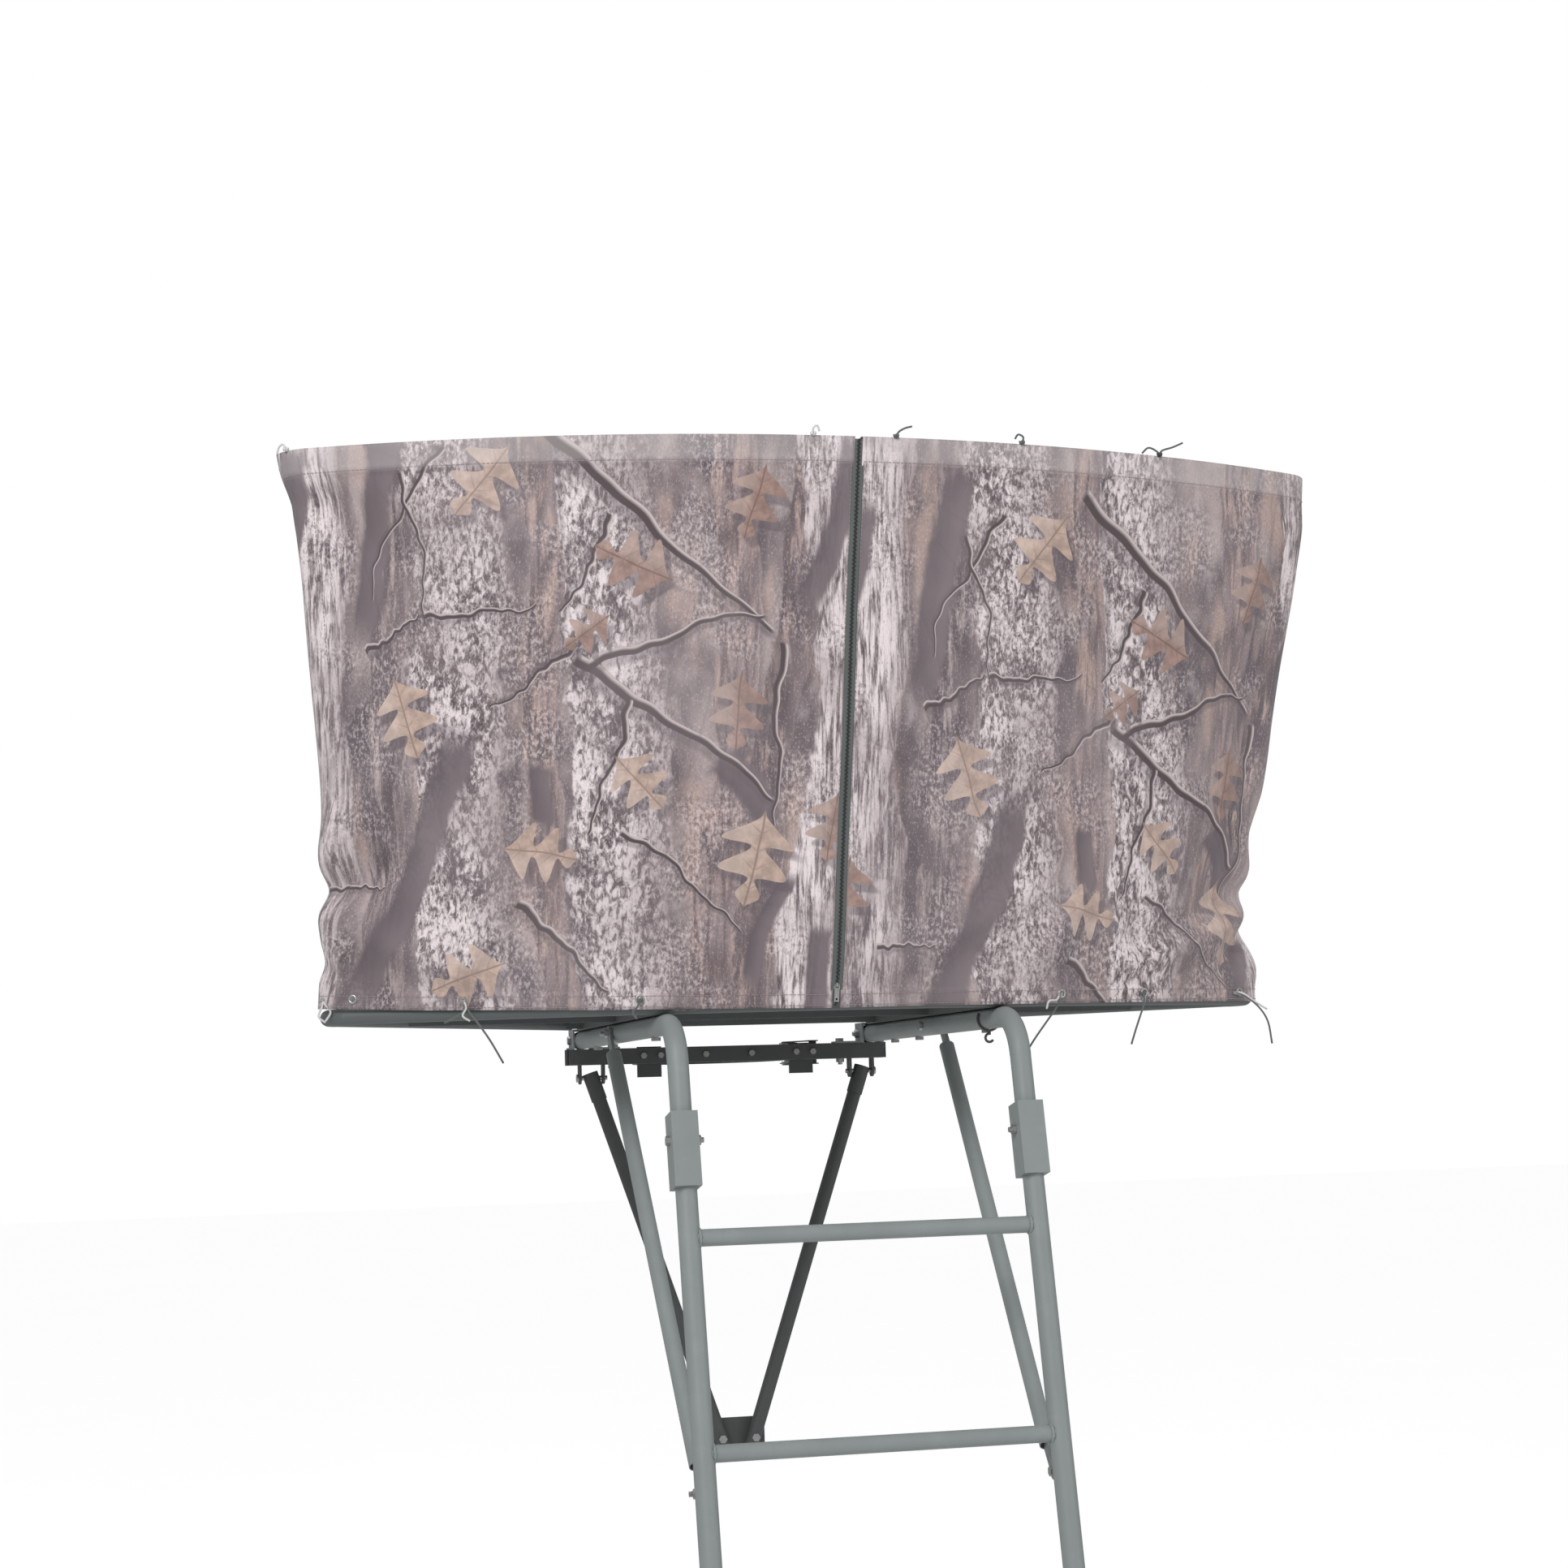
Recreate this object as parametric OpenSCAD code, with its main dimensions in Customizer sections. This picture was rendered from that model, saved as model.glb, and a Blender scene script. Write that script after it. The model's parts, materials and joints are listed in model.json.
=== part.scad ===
// Two-person ladder tree stand with a flip-up shooting rail and a zipped skirt.
// World frame: origin on the ground midway between the ladder's feet, +X to the right
// seen from the front, +Y towards the tree, +Z up. Millimetres.
// Most pieces are drawn in the platform frame, whose origin is at the front centre
// of the platform level; on_platform() puts them in place.

/* [Stand] */
// Height of the platform level above the ground
platform_h = 2230; // [2150:10:2330]
// Lean of the ladder towards the tree, in degrees
ladder_lean = 11.5; // [10.5:0.5:12.5]
// Distance from the platform's front to the face of the trunk
tree_reach = 863; // [863:1:870]
// Diameter of the trunk that the stand is set up on
trunk_d = 274; // [268:2:280]
// Wall thickness of the steel tubes
wall = 1.5; // [1.2:0.1:2]

/* [Ladder] */
// Distance between the centrelines of the two rails
rail_gap = 530; // [526:2:534]
// Outside diameter of a rail
rail_d = 32; // [31:0.5:32]
// Diameter of a rung
rung_d = 25; // [24:0.5:26]
// Distance from rung to rung along the rails
rung_step = 305; // [300:1:308]
// Length of one sleeve that joins two sections
sleeve_len = 110; // [105:1:115]
// Width of a sleeve across the ladder
sleeve_w = 40; // [38:1:42]
// Depth of a sleeve
sleeve_t = 46; // [42:1:46]

/* [Platform] */
// Half the width of the platform at its front corners, to the tube's centreline
deck_half_w = 752; // [740:2:765]
// Radius of the bowed front tube
deck_bow_r = 1567; // [1500:1:1650]
// Diameter of the platform's tubes
deck_d = 25; // [24:0.5:25]
// Side of the square rear crossbar
crossbar_a = 28; // [26:1:28]

/* [Shooting rail] */
// Height of the rail's centreline above the platform level
rail_z = 835.5; // [820:0.5:850]
// Half the width of the shooting rail, to the tube's centreline
rail_half_w = 815.5; // [800:0.5:825]
// Radius of the bowed front of the shooting rail
rail_bow_r = 1945; // [1900:1:2000]
// How far the rail's front stands ahead of the platform
rail_ahead = 115; // [105:1:125]
// Diameter of the shooting rail's tube
rail_tube_d = 25; // [24:0.5:25]

/* [Seat] */
// Height of the seat's hinge above the platform level
seat_z = 430; // [415:1:440]
// Half the width of the seat frame
seat_half_w = 440; // [400:5:450]
// Distance from the platform's front to the seat's hinge
seat_hinge_y = 680; // [676:1:684]
// Depth of the seat, from the hinge to the front tube
seat_depth = 270; // [260:1:280]
// Thickness of the seat cushion
cushion_t = 38; // [30:1:40]

/* [Skirt] */
// Thickness of the skirt's cloth with its hems
cloth_t = 3; // [2:0.5:3]
// Height of the skirt's lower hem above the platform level
hem_z = 4; // [2:1:8]
// How far the zipper stands right of the middle, at the top
zip_top_x = 20; // [10:1:25]
// How far the zipper stands right of the middle, at the bottom
zip_low_x = -8; // [-10:1:0]
// Width of the zipper's tape
zip_w = 12; // [10:1:14]
// How far the skirt wraps round each front corner, in degrees
skirt_wrap = 50; // [40:1:55]

/* [Hidden] */
$fn = 48;
eps = 0.01;

// Colours
ladder_steel = [0.60, 0.64, 0.63];
frame_steel = [0.46, 0.47, 0.47];
dark_steel = [0.30, 0.31, 0.31];
zinc = [0.66, 0.66, 0.64];
black_plastic = [0.09, 0.09, 0.09];
cloth_colour = [0.65, 0.59, 0.60];
cord_colour = [0.35, 0.37, 0.36];
pad_colour = [0.22, 0.24, 0.22];

// Ladder
half_gap = rail_gap / 2;
ladder_len = platform_h / cos(ladder_lean);
rail_setback = 30;
front_y = rail_setback + platform_h * tan(ladder_lean);
top_sleeve_s = ladder_len - 157;
mid_sleeve_s = top_sleeve_s - 968;
top_rung_s = top_sleeve_s - 183;
tail = sleeve_len - 20;
foot_s = 14;
bolt_d = 8;
hole_d = 8.6;
nut_af = 13;
nut_h = 6.5;
head_h = 5.5;

// Arms: the ladder's top tubes, bent back under the platform
arm_z = -21;
arm_bend_r = 75;
arm_end_y = 842;
arm_bolt_ys = [120, 495, 648];

// Platform
deck_z = arm_z + rail_d / 2 + deck_d / 2;
deck_top = deck_z + deck_d / 2;
deck_front = 25;
deck_corner_r = 45;
deck_end = [300, 752];
deck_rear_y = 735;
deck_plate_t = 2.5;
beam_rear_y = 792;

// Braces, as points where their bolts sit
brace_d = 25;
tab_t = 5;
ear_s = ladder_len - 696;
ear_out = 34;
brace_y = 424;

// Rear crossbar and what it carries
crossbar_y = 826;
crossbar_z = arm_z - rail_d / 2 - crossbar_a / 2;
crossbar_half = 290;
crossbar_back = crossbar_y + crossbar_a / 2;
saddle_t = 3;
saddle_len = 50;
v_x = 248;
v_low_x = 30;
v_z = crossbar_z - crossbar_a / 2 - 23;
v_low_z = v_z - 641;
v_d = 25;
v_tilt = atan2(v_x - v_low_x, v_z - v_low_z);
pin_r = 4;
pin_play = 0.05;
strap_w = 25;
strap_t = 2;
bracket_x = 140;
screw_d = 6;
screw_hole = 6.4;
screw_af = 10;
screw_xs = [42, bracket_x - 15.5, bracket_x + 15.5];
strap_pin_y = 857;
strap_r = trunk_d / 2 + strap_t / 2 + 1;
loop_r = 3.3;
seam_t = 0.3;
trunk_y = tree_reach + trunk_d / 2;

// Back frame and seat
post_y = 768;
post_d = 25;
post_top = 858;
post_base_t = 4;
post_screw_ys = [post_y - 19, post_y + 19];
seat_d = 22;
seat_front_y = seat_hinge_y - seat_depth;
seat_tube_ys = [seat_front_y, seat_front_y + 55, seat_hinge_y];
support_a = 20;
support_top = seat_z - seat_d / 2 - 0.5;
panel_t = 2;

// Shooting rail
rail_corner_r = 50;
rail_end = [302, 728];
rail_tab_x = half_gap + post_d / 2 + 1.3;
pad_d = 40;

// Skirt: centreline of the cloth, outside the tube that carries it
cloth_gap = 3.8;
top_off = rail_tube_d / 2 + cloth_gap + cloth_t / 2;
low_off = deck_d / 2 + 2.4 + cloth_t / 2;
skirt_top = rail_z + rail_tube_d / 2 + 2;

// Ratchet
ratchet_x = 143;
spool_y = 948;
frame_pin_y = 884;
spool_r = 8;

// Stabilizer, on the rung below the middle sleeve, in the world frame
stab_s = top_rung_s - 3 * rung_step;
stab_y = stab_s * sin(ladder_lean);
stab_z = stab_s * cos(ladder_lean);
stab_d = 28;
stab_bore = 24.16;
stab_inner_d = 24;
stab_tube_end = stab_y + 715;
yoke_y = front_y + tree_reach - 22;

// ---------- Placement ----------

module on_platform() {
    translate([0, front_y, platform_h]) children();
}

// Origin on the ladder's axis, s millimetres up from the ground, +Z along the rails
module on_ladder(s) {
    rotate([-ladder_lean, 0, 0]) translate([0, 0, s]) children();
}

module both_sides() {
    children();
    mirror([1, 0, 0]) children();
}

module right_or_left(side) {
    if (side > 0) children();
    else mirror([1, 0, 0]) children();
}

// ---------- Shared shapes ----------

// Round bar between two points, longer by extra at both ends
module bar(p, q, d, extra = 0) {
    v = q - p;
    len = norm(v);
    translate(p) rotate([0, acos(v[2] / len), atan2(v[1], v[0])])
        translate([0, 0, -extra]) cylinder(h = len + 2 * extra, d = d);
}

// Cylinder along X from x0 to x1
module rod_x(x0, x1, d) {
    translate([x0, 0, 0]) rotate([0, 90, 0]) cylinder(h = x1 - x0, d = d);
}

// Cylinder along Y from y0 to y1
module rod_y(y0, y1, d) {
    translate([0, y0, 0]) rotate([-90, 0, 0]) cylinder(h = y1 - y0, d = d);
}

module hex(af, h) {
    cylinder(h = h, d = af / cos(30), $fn = 6);
}

// Bolt along +Z: the head lies below the origin
module bolt(len, d = bolt_d, af = nut_af) {
    cylinder(h = len, d = d);
    translate([0, 0, -head_h]) hex(af, head_h);
}

module nut(d = bolt_d + 0.1, af = nut_af, h = nut_h) {
    difference() {
        hex(af, h);
        translate([0, 0, -1]) cylinder(h = h + 2, d = d);
    }
}

// ---------- Bowed tube: a front arc, two round corners and two straight sides ----------

// A bend is drawn a little thicker than its tube, and the tube runs a little way into it
bend_swell = 0.4;
bend_lap = 3;

function corner_x(w, rc) = w - rc;
function corner_y(r, rc, w, yf) = yf + r - sqrt(pow(r - rc, 2) - pow(w - rc, 2));
function arc_half(r, rc, w) = asin((w - rc) / (r - rc));
function side_angle(cx, cy, rc, end) =
    atan2(end[1] - cy, end[0] - cx) - acos(rc / norm(end - [cx, cy]));

// Point outside the centreline by off, at arc length s from the middle
function bow_point(r, rc, w, yf, off, s) =
    let (phi = arc_half(r, rc, w), reach = r * phi * PI / 180, a = abs(s),
        turn = a <= reach ? a / r * 180 / PI : phi + (a - reach) / rc * 180 / PI,
        x = a <= reach ? (r + off) * sin(turn) : corner_x(w, rc) + (rc + off) * sin(turn),
        y = a <= reach ? yf + r - (r + off) * cos(turn)
            : corner_y(r, rc, w, yf) - (rc + off) * cos(turn))
    [s < 0 ? -x : x, y];

// Arc length from the middle to where a corner begins
function bow_arc(r, rc, w) = r * arc_half(r, rc, w) * PI / 180;

// Arc length from the middle to the skirt's side edge
function bow_reach(r, rc, w) = bow_arc(r, rc, w) + rc * skirt_wrap * PI / 180;

module bow_tube(r, rc, w, yf, end, d, extra = 0) {
    phi = arc_half(r, rc, w);
    cx = corner_x(w, rc);
    cy = corner_y(r, rc, w, yf);
    alpha = side_angle(cx, cy, rc, end);
    side_len = sqrt(pow(norm(end - [cx, cy]), 2) - rc * rc);
    front = phi + bend_lap / r * 180 / PI;
    translate([0, yf + r, 0]) rotate([0, 0, -90 - front])
        rotate_extrude(angle = 2 * front, $fn = 400) translate([r, 0]) circle(d = d, $fn = 48);
    both_sides() {
        translate([cx, cy, 0]) rotate([0, 0, phi - 90])
            rotate_extrude(angle = alpha - phi + 90) translate([rc, 0])
                circle(d = d + bend_swell);
        translate([cx + rc * cos(alpha), cy + rc * sin(alpha), 0]) rotate([0, 0, alpha + 90])
            rod_x(-bend_lap, side_len + extra, d);
    }
}

// ---------- Ladder ----------

module foot_bar() {
    bar_w = 70;
    plate_t = 6;
    ear_t = 4;
    ear_h = 52;
    color(frame_steel) difference() {
        union() {
            translate([-half_gap - 45, -bar_w / 2, 0]) cube([rail_gap + 90, bar_w, plate_t]);
            for (x = [-half_gap, half_gap], s = [-1, 1])
                translate([x + s * (rail_d / 2 + 0.5 + ear_t / 2) - ear_t / 2, -20, plate_t - 1])
                    cube([ear_t, 54, ear_h]);
        }
        on_ladder(foot_bolt_s()) rod_x(-half_gap - 60, half_gap + 60, hole_d);
    }
}

function foot_bolt_s() = 38;

module foot_bolts() {
    reach = rail_d / 2 + 4.5;
    color(zinc) on_ladder(foot_bolt_s()) both_sides() translate([half_gap, 0, 0]) {
        translate([reach + 0.1, 0, 0]) rotate([0, -90, 0]) bolt(2 * reach + 14);
        translate([-reach - 0.1, 0, 0]) rotate([0, -90, 0]) nut();
    }
}

// Rails and rungs of one section, from s0 to s1, with a sleeve that ends at sleeve_s
module ladder_section(s0, sleeve_s, rungs) {
    s1 = sleeve_s - tail;
    both_sides() translate([half_gap, 0, 0]) {
        translate([0, 0, s0]) cylinder(h = s1 - s0, d = rail_d);
        translate([-sleeve_w / 2, -sleeve_t / 2, sleeve_s - sleeve_len])
            cube([sleeve_w, sleeve_t, sleeve_len]);
    }
    for (s = rungs) translate([0, 0, s]) rod_x(-half_gap, half_gap, rung_d);
}

// Bores of one section: rails, rungs, the sleeve's socket and the bolt holes
module ladder_bores(s0, sleeve_s, rungs) {
    s1 = sleeve_s - tail;
    both_sides() translate([half_gap, 0, 0]) {
        translate([0, 0, s0 - 1]) cylinder(h = s1 - s0 + 2, d = rail_d - 2 * wall);
        translate([0, 0, s1]) cylinder(h = tail + 1, d = rail_d + 0.6);
    }
    for (s = rungs) translate([0, 0, s]) rod_x(-half_gap, half_gap, rung_d - 2 * wall);
    translate([0, 0, sleeve_s - 40]) rod_x(-half_gap - 60, half_gap + 60, hole_d);
}

module ladder_lower() {
    rungs = [for (k = [3:5]) top_rung_s - k * rung_step];
    color(ladder_steel) on_ladder(0) difference() {
        ladder_section(foot_s, mid_sleeve_s, rungs);
        ladder_bores(foot_s, mid_sleeve_s, rungs);
        translate([0, 0, foot_bolt_s()]) rod_x(-half_gap - 60, half_gap + 60, hole_d);
    }
}

module ladder_upper() {
    rungs = [for (k = [0:2]) top_rung_s - k * rung_step];
    s0 = mid_sleeve_s - tail + 2;
    color(ladder_steel) on_ladder(0) difference() {
        union() {
            ladder_section(s0, top_sleeve_s, rungs);
            both_sides() translate([half_gap, 0, ear_s]) {
                translate([0, 0, -16]) cube([tab_t, ear_out, 32]);
                translate([0, ear_out, 0]) rod_x(0, tab_t, 32);
            }
        }
        ladder_bores(s0, top_sleeve_s, rungs);
        translate([0, 0, mid_sleeve_s - 40]) rod_x(-half_gap - 60, half_gap + 60, hole_d);
        translate([0, ear_out, ear_s]) rod_x(-half_gap - 60, half_gap + 60, hole_d);
    }
}

// Bent tube in the platform frame: up the ladder, round the bend and back to the tree
module arm_path(d, extra = 0) {
    turn = 90 - ladder_lean;
    corner_y = -rail_setback + arm_z * tan(ladder_lean);
    run = arm_bend_r * tan(turn / 2);
    insert = (ladder_len - top_sleeve_s) + tail - 4 + arm_z / cos(ladder_lean) - run;
    translate([0, corner_y, arm_z]) rotate([-ladder_lean, 0, 0])
        translate([0, 0, -run - insert - extra])
            cylinder(h = insert + extra + bend_lap, d = d);
    translate([0, corner_y + run, arm_z - arm_bend_r]) rotate([90, 0, 90])
        rotate([0, 0, 90]) rotate_extrude(angle = turn) translate([arm_bend_r, 0])
            circle(d = d + bend_swell);
    translate([0, 0, arm_z]) rod_y(corner_y + run - bend_lap, arm_end_y + extra, d);
}

module arm(side) {
    color(ladder_steel) on_platform() right_or_left(side) translate([half_gap, 0, 0])
        difference() {
            arm_path(rail_d);
            arm_path(rail_d - 2 * wall, 1);
            for (y = arm_bolt_ys) translate([0, y, arm_z - 30]) cylinder(h = 60, d = hole_d);
            translate([0, brace_y, arm_z]) rod_x(-30, 30, hole_d);
            translate([0, crossbar_y, arm_z]) rod_x(-30, 30, hole_d);
            translate([0, -front_y, -platform_h]) on_ladder(top_sleeve_s - 40)
                rod_x(-30, 30, hole_d);
        }
}

module arm_left() { arm(-1); }

module arm_right() { arm(1); }

module section_bolts() {
    reach = sleeve_w / 2 + 0.1;
    color(zinc) for (s = [mid_sleeve_s, top_sleeve_s]) on_ladder(s - 40) both_sides()
        translate([half_gap, 0, 0]) rotate([0, -90, 0]) {
            translate([0, 0, -reach]) bolt(sleeve_w + 11);
            translate([0, 0, reach]) nut();
        }
}

// ---------- Platform ----------

module deck_tube(d, extra = 0) {
    translate([0, 0, deck_z])
        bow_tube(deck_bow_r, deck_corner_r, deck_half_w, deck_front, deck_end, d, extra);
}

module platform_frame() {
    inner = deck_d - 2 * wall;
    bow_y = deck_front + deck_bow_r - sqrt(pow(deck_bow_r, 2) - pow(half_gap, 2));
    bar_t = 6;
    color(frame_steel) on_platform() difference() {
        union() {
            deck_tube(deck_d);
            both_sides() translate([half_gap - deck_d / 2, bow_y, deck_z - deck_d / 2])
                cube([deck_d, beam_rear_y - bow_y, deck_d]);
            for (y = [400, deck_rear_y]) {
                half = y == 400 ? 612 : 316;
                translate([-half, y - bar_t / 2, deck_z - deck_d / 2 + 2])
                    cube([2 * half, bar_t, deck_d - 4]);
            }
        }
        deck_tube(inner, 1);
        both_sides() {
            translate([half_gap - inner / 2, bow_y + deck_d, deck_z - inner / 2])
                cube([inner, beam_rear_y, inner]);
            for (y = arm_bolt_ys) translate([half_gap, y, deck_z - deck_d / 2 - 1])
                cylinder(h = wall + 2, d = hole_d);
            for (y = post_screw_ys) translate([half_gap, y, deck_top - wall - 1])
                cylinder(h = wall + 2, d = screw_hole);
        }
    }
}

module platform_deck() {
    half = bow_reach(deck_bow_r, deck_corner_r, deck_half_w) - 25;
    steps = 24;
    front = [for (i = [0:steps])
        bow_point(deck_bow_r, deck_corner_r, deck_half_w, deck_front, 4, half * (2 * i / steps - 1))];
    color(frame_steel) on_platform() translate([0, 0, deck_top + 0.2])
        linear_extrude(height = deck_plate_t)
            polygon(concat(front, [[deck_end[0] + 14, deck_rear_y], [-deck_end[0] - 14, deck_rear_y]]));
}

module platform_bolts() {
    color(zinc) on_platform() both_sides() for (y = arm_bolt_ys) translate([half_gap, y, 0]) {
        translate([0, 0, arm_z - rail_d / 2 - 0.05]) bolt(rail_d + wall + nut_h + 3);
        translate([0, 0, deck_z - deck_d / 2 + wall + 0.05]) nut();
    }
}

// ---------- Braces ----------

// Bolt points of the right brace in the platform frame
function brace_top() = [half_gap + rail_d / 2 + 0.3 + tab_t / 2, brace_y, arm_z];
function brace_low() =
    let (drop = ladder_len - ear_s)
    [half_gap - 0.3 - tab_t / 2,
        -rail_setback - drop * sin(ladder_lean) + ear_out * cos(ladder_lean),
        -drop * cos(ladder_lean) - ear_out * sin(ladder_lean)];

module brace_tab(tilt) {
    rotate([tilt, 0, 0]) {
        rod_x(-tab_t / 2, tab_t / 2, brace_d);
        translate([-tab_t / 2, -brace_d / 2 + 2, -62]) cube([tab_t, brace_d - 4, 62]);
    }
}

module brace(side) {
    a = brace_top();
    b = brace_low();
    unit = (b - a) / norm(b - a);
    tilt = atan2(b[1] - a[1], a[2] - b[2]);
    tube_gap = 45;
    color(ladder_steel) on_platform() right_or_left(side) difference() {
        union() {
            difference() {
                bar(a + tube_gap * unit, b - tube_gap * unit, brace_d);
                bar(a + tube_gap * unit, b - tube_gap * unit, brace_d - 2 * wall, 1);
            }
            translate(a) brace_tab(tilt);
            translate(b) brace_tab(tilt + 180);
        }
        translate(a) rod_x(-20, 20, hole_d);
        translate(b) rod_x(-20, 20, hole_d);
    }
}

module brace_left() { brace(-1); }

module brace_right() { brace(1); }

module brace_bolts() {
    a = brace_top();
    b = brace_low();
    color(zinc) on_platform() both_sides() {
        translate([half_gap - rail_d / 2 - 0.1, a[1], a[2]]) rotate([0, 90, 0])
            bolt(rail_d + tab_t + 14);
        translate([a[0] + tab_t / 2 + 0.1, a[1], a[2]]) rotate([0, 90, 0]) nut();
        translate([b[0] - tab_t / 2 - 0.1, b[1], b[2]]) rotate([0, 90, 0]) bolt(2 * tab_t + 13);
        translate([half_gap + tab_t + 0.1, b[1], b[2]]) rotate([0, 90, 0]) nut();
    }
}

// ---------- Rear crossbar ----------

saddle_foot_x = 210;
clevis_w = 38;
ear_t = 4;

module crossbar() {
    a = crossbar_a;
    color(dark_steel) on_platform() difference() {
        union() {
            translate([-crossbar_half, crossbar_y - a / 2, crossbar_z - a / 2])
                cube([2 * crossbar_half, a, a]);
            both_sides() for (s = [-1, 1])
                translate([v_x + s * (clevis_w + ear_t) / 2 - ear_t / 2, crossbar_y, v_z]) {
                    translate([0, -11, 0]) cube([ear_t, 22, crossbar_z - a / 2 - v_z]);
                    rod_x(0, ear_t, 22);
                }
        }
        translate([-crossbar_half - 1, crossbar_y - a / 2 + 2, crossbar_z - a / 2 + 2])
            cube([2 * crossbar_half + 2, a - 4, a - 4]);
        translate([0, crossbar_y, v_z]) rod_x(-300, 300, 2 * (pin_r + pin_play));
        both_sides() {
            translate([saddle_foot_x, crossbar_y, crossbar_z - 20]) cylinder(h = 40, d = hole_d);
            for (x = screw_xs) translate([x, 0, crossbar_z])
                rod_y(crossbar_y - 20, crossbar_y + 20, screw_hole);
        }
    }
}

// Plastic plugs in the open tube ends of the fixed frame
module tube_caps() {
    plug = 14;
    lip = 3;
    a = crossbar_a;
    cx = corner_x(deck_half_w, deck_corner_r);
    cy = corner_y(deck_bow_r, deck_corner_r, deck_half_w, deck_front);
    alpha = side_angle(cx, cy, deck_corner_r, deck_end);
    color(black_plastic) on_platform() both_sides() {
        translate([half_gap, 0, arm_z]) {
            rod_y(arm_end_y - plug + 4, arm_end_y + eps, rail_d - 2 * wall - 0.2);
            rod_y(arm_end_y + eps, arm_end_y + lip, rail_d);
        }
        translate([half_gap, 0, deck_z]) {
            translate([-10.8, beam_rear_y - plug, -10.8]) cube([21.6, plug + eps, 12.3]);
            translate([-12.5, beam_rear_y + eps, -12.5]) cube([25, lip, 25]);
        }
        translate([crossbar_half - plug, crossbar_y - a / 2 + 2.1, crossbar_z - a / 2 + 2.1])
            cube([plug + eps, a - 4.2, a - 4.2]);
        translate([crossbar_half + eps, crossbar_y - a / 2, crossbar_z - a / 2]) cube([lip, a, a]);
        translate([half_gap, post_y, post_top + eps]) {
            translate([0, 0, -plug]) cylinder(h = plug, d = post_d - 2 * wall - 0.2);
            cylinder(h = lip, d = post_d);
        }
        translate([deck_end[0], deck_end[1], deck_z]) rotate([0, 0, alpha + 90]) {
            rod_x(-plug, eps, deck_d - 2 * wall - 0.2);
            rod_x(eps, lip, deck_d);
        }
    }
}

// U-shaped saddle over an arm's end, its feet on the crossbar
module saddle(side) {
    inner = rail_d + 0.4;
    outer = inner + 2 * saddle_t;
    base = arm_z - rail_d / 2;
    y0 = crossbar_y - saddle_len / 2 - 3;
    color(ladder_steel) on_platform() right_or_left(side) difference() {
        union() {
            translate([half_gap - outer / 2, y0, base + eps])
                cube([outer, saddle_len, rail_d + 0.2 + saddle_t]);
            translate([saddle_foot_x - 12, crossbar_y - crossbar_a / 2, base + eps])
                cube([half_gap - saddle_foot_x, crossbar_a, saddle_t]);
            translate([half_gap, crossbar_y - crossbar_a / 2, base + eps])
                cube([crossbar_half - half_gap, crossbar_a, saddle_t]);
        }
        translate([half_gap - inner / 2, y0 - 1, base - 1])
            cube([inner, saddle_len + 2, rail_d + 1.2]);
        translate([half_gap, crossbar_y, arm_z]) rod_x(-40, 40, hole_d);
        translate([saddle_foot_x, crossbar_y, base - 1]) cylinder(h = 10, d = hole_d);
    }
}

module saddle_left() { saddle(-1); }

module saddle_right() { saddle(1); }

module saddle_bolts() {
    outer = rail_d / 2 + 0.2 + saddle_t;
    base = arm_z - rail_d / 2;
    color(zinc) on_platform() both_sides() {
        translate([half_gap + outer + 0.1, crossbar_y, arm_z]) rotate([0, -90, 0])
            bolt(2 * outer + 11);
        translate([half_gap - outer - 0.1, crossbar_y, arm_z]) rotate([0, -90, 0]) nut();
        translate([saddle_foot_x, crossbar_y, base + saddle_t + 0.1]) rotate([180, 0, 0])
            bolt(crossbar_a + saddle_t + 11);
        translate([saddle_foot_x, crossbar_y, base - crossbar_a - 0.1]) rotate([180, 0, 0]) nut();
    }
}

// Toothed plate on the middle of the crossbar, which bites into the bark
module tree_plate() {
    plate_t = 4;
    teeth = 7;
    half = 56;
    pitch = 2 * half / teeth;
    back = crossbar_back + 0.1;
    color(dark_steel) on_platform() {
        difference() {
            union() {
                translate([-half, back, crossbar_z - 14]) cube([2 * half, plate_t, 28]);
                for (z = [-14, 10]) translate([0, back + plate_t, crossbar_z + z])
                    linear_extrude(height = plate_t) polygon(concat([[half, -1], [-half, -1]],
                        [for (i = [0:2 * teeth]) [-half + i * pitch / 2, i % 2 == 0 ? 5 : 14]]));
            }
            both_sides() translate([screw_xs[0], 0, crossbar_z])
                rod_y(back - 1, back + plate_t + 1, screw_hole);
        }
    }
}

// Screws and nuts that hold the tree plate and the strap brackets on the crossbar
module bracket_screws() {
    color(zinc) on_platform() both_sides() for (x = screw_xs)
        translate([x, crossbar_y - crossbar_a / 2, crossbar_z]) rotate([-90, 0, 0]) {
            translate([0, 0, -0.1]) bolt(crossbar_a + 13, screw_d, screw_af);
            translate([0, 0, crossbar_a + 4.3]) nut(screw_d + 0.1, screw_af, 5);
        }
}

// Bracket with an upright pin that holds the tree strap
module strap_bracket(side) {
    plate_t = 4;
    half = 22;
    back = crossbar_back + 0.1;
    gap = strap_w / 2 + 1;
    color(dark_steel) on_platform() right_or_left(side) translate([bracket_x, 0, crossbar_z]) {
        difference() {
            union() {
                translate([-half, back, -38]) cube([2 * half, plate_t, 38 + gap + 3]);
                for (z = [gap, -gap - 3]) translate([-9, back, z]) cube([18, 22, 3]);
                translate([0, strap_pin_y, -gap - 1]) cylinder(h = 2 * gap + 2, d = 6);
            }
            for (x = [screw_xs[1], screw_xs[2]]) translate([x - bracket_x, 0, 0])
                rod_y(back - 1, back + plate_t + 1, screw_hole);
        }
    }
}

module strap_bracket_left() { strap_bracket(-1); }

module strap_bracket_right() { strap_bracket(1); }

// ---------- V-brace: folds forward about the crossbar's two pins ----------

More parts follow.
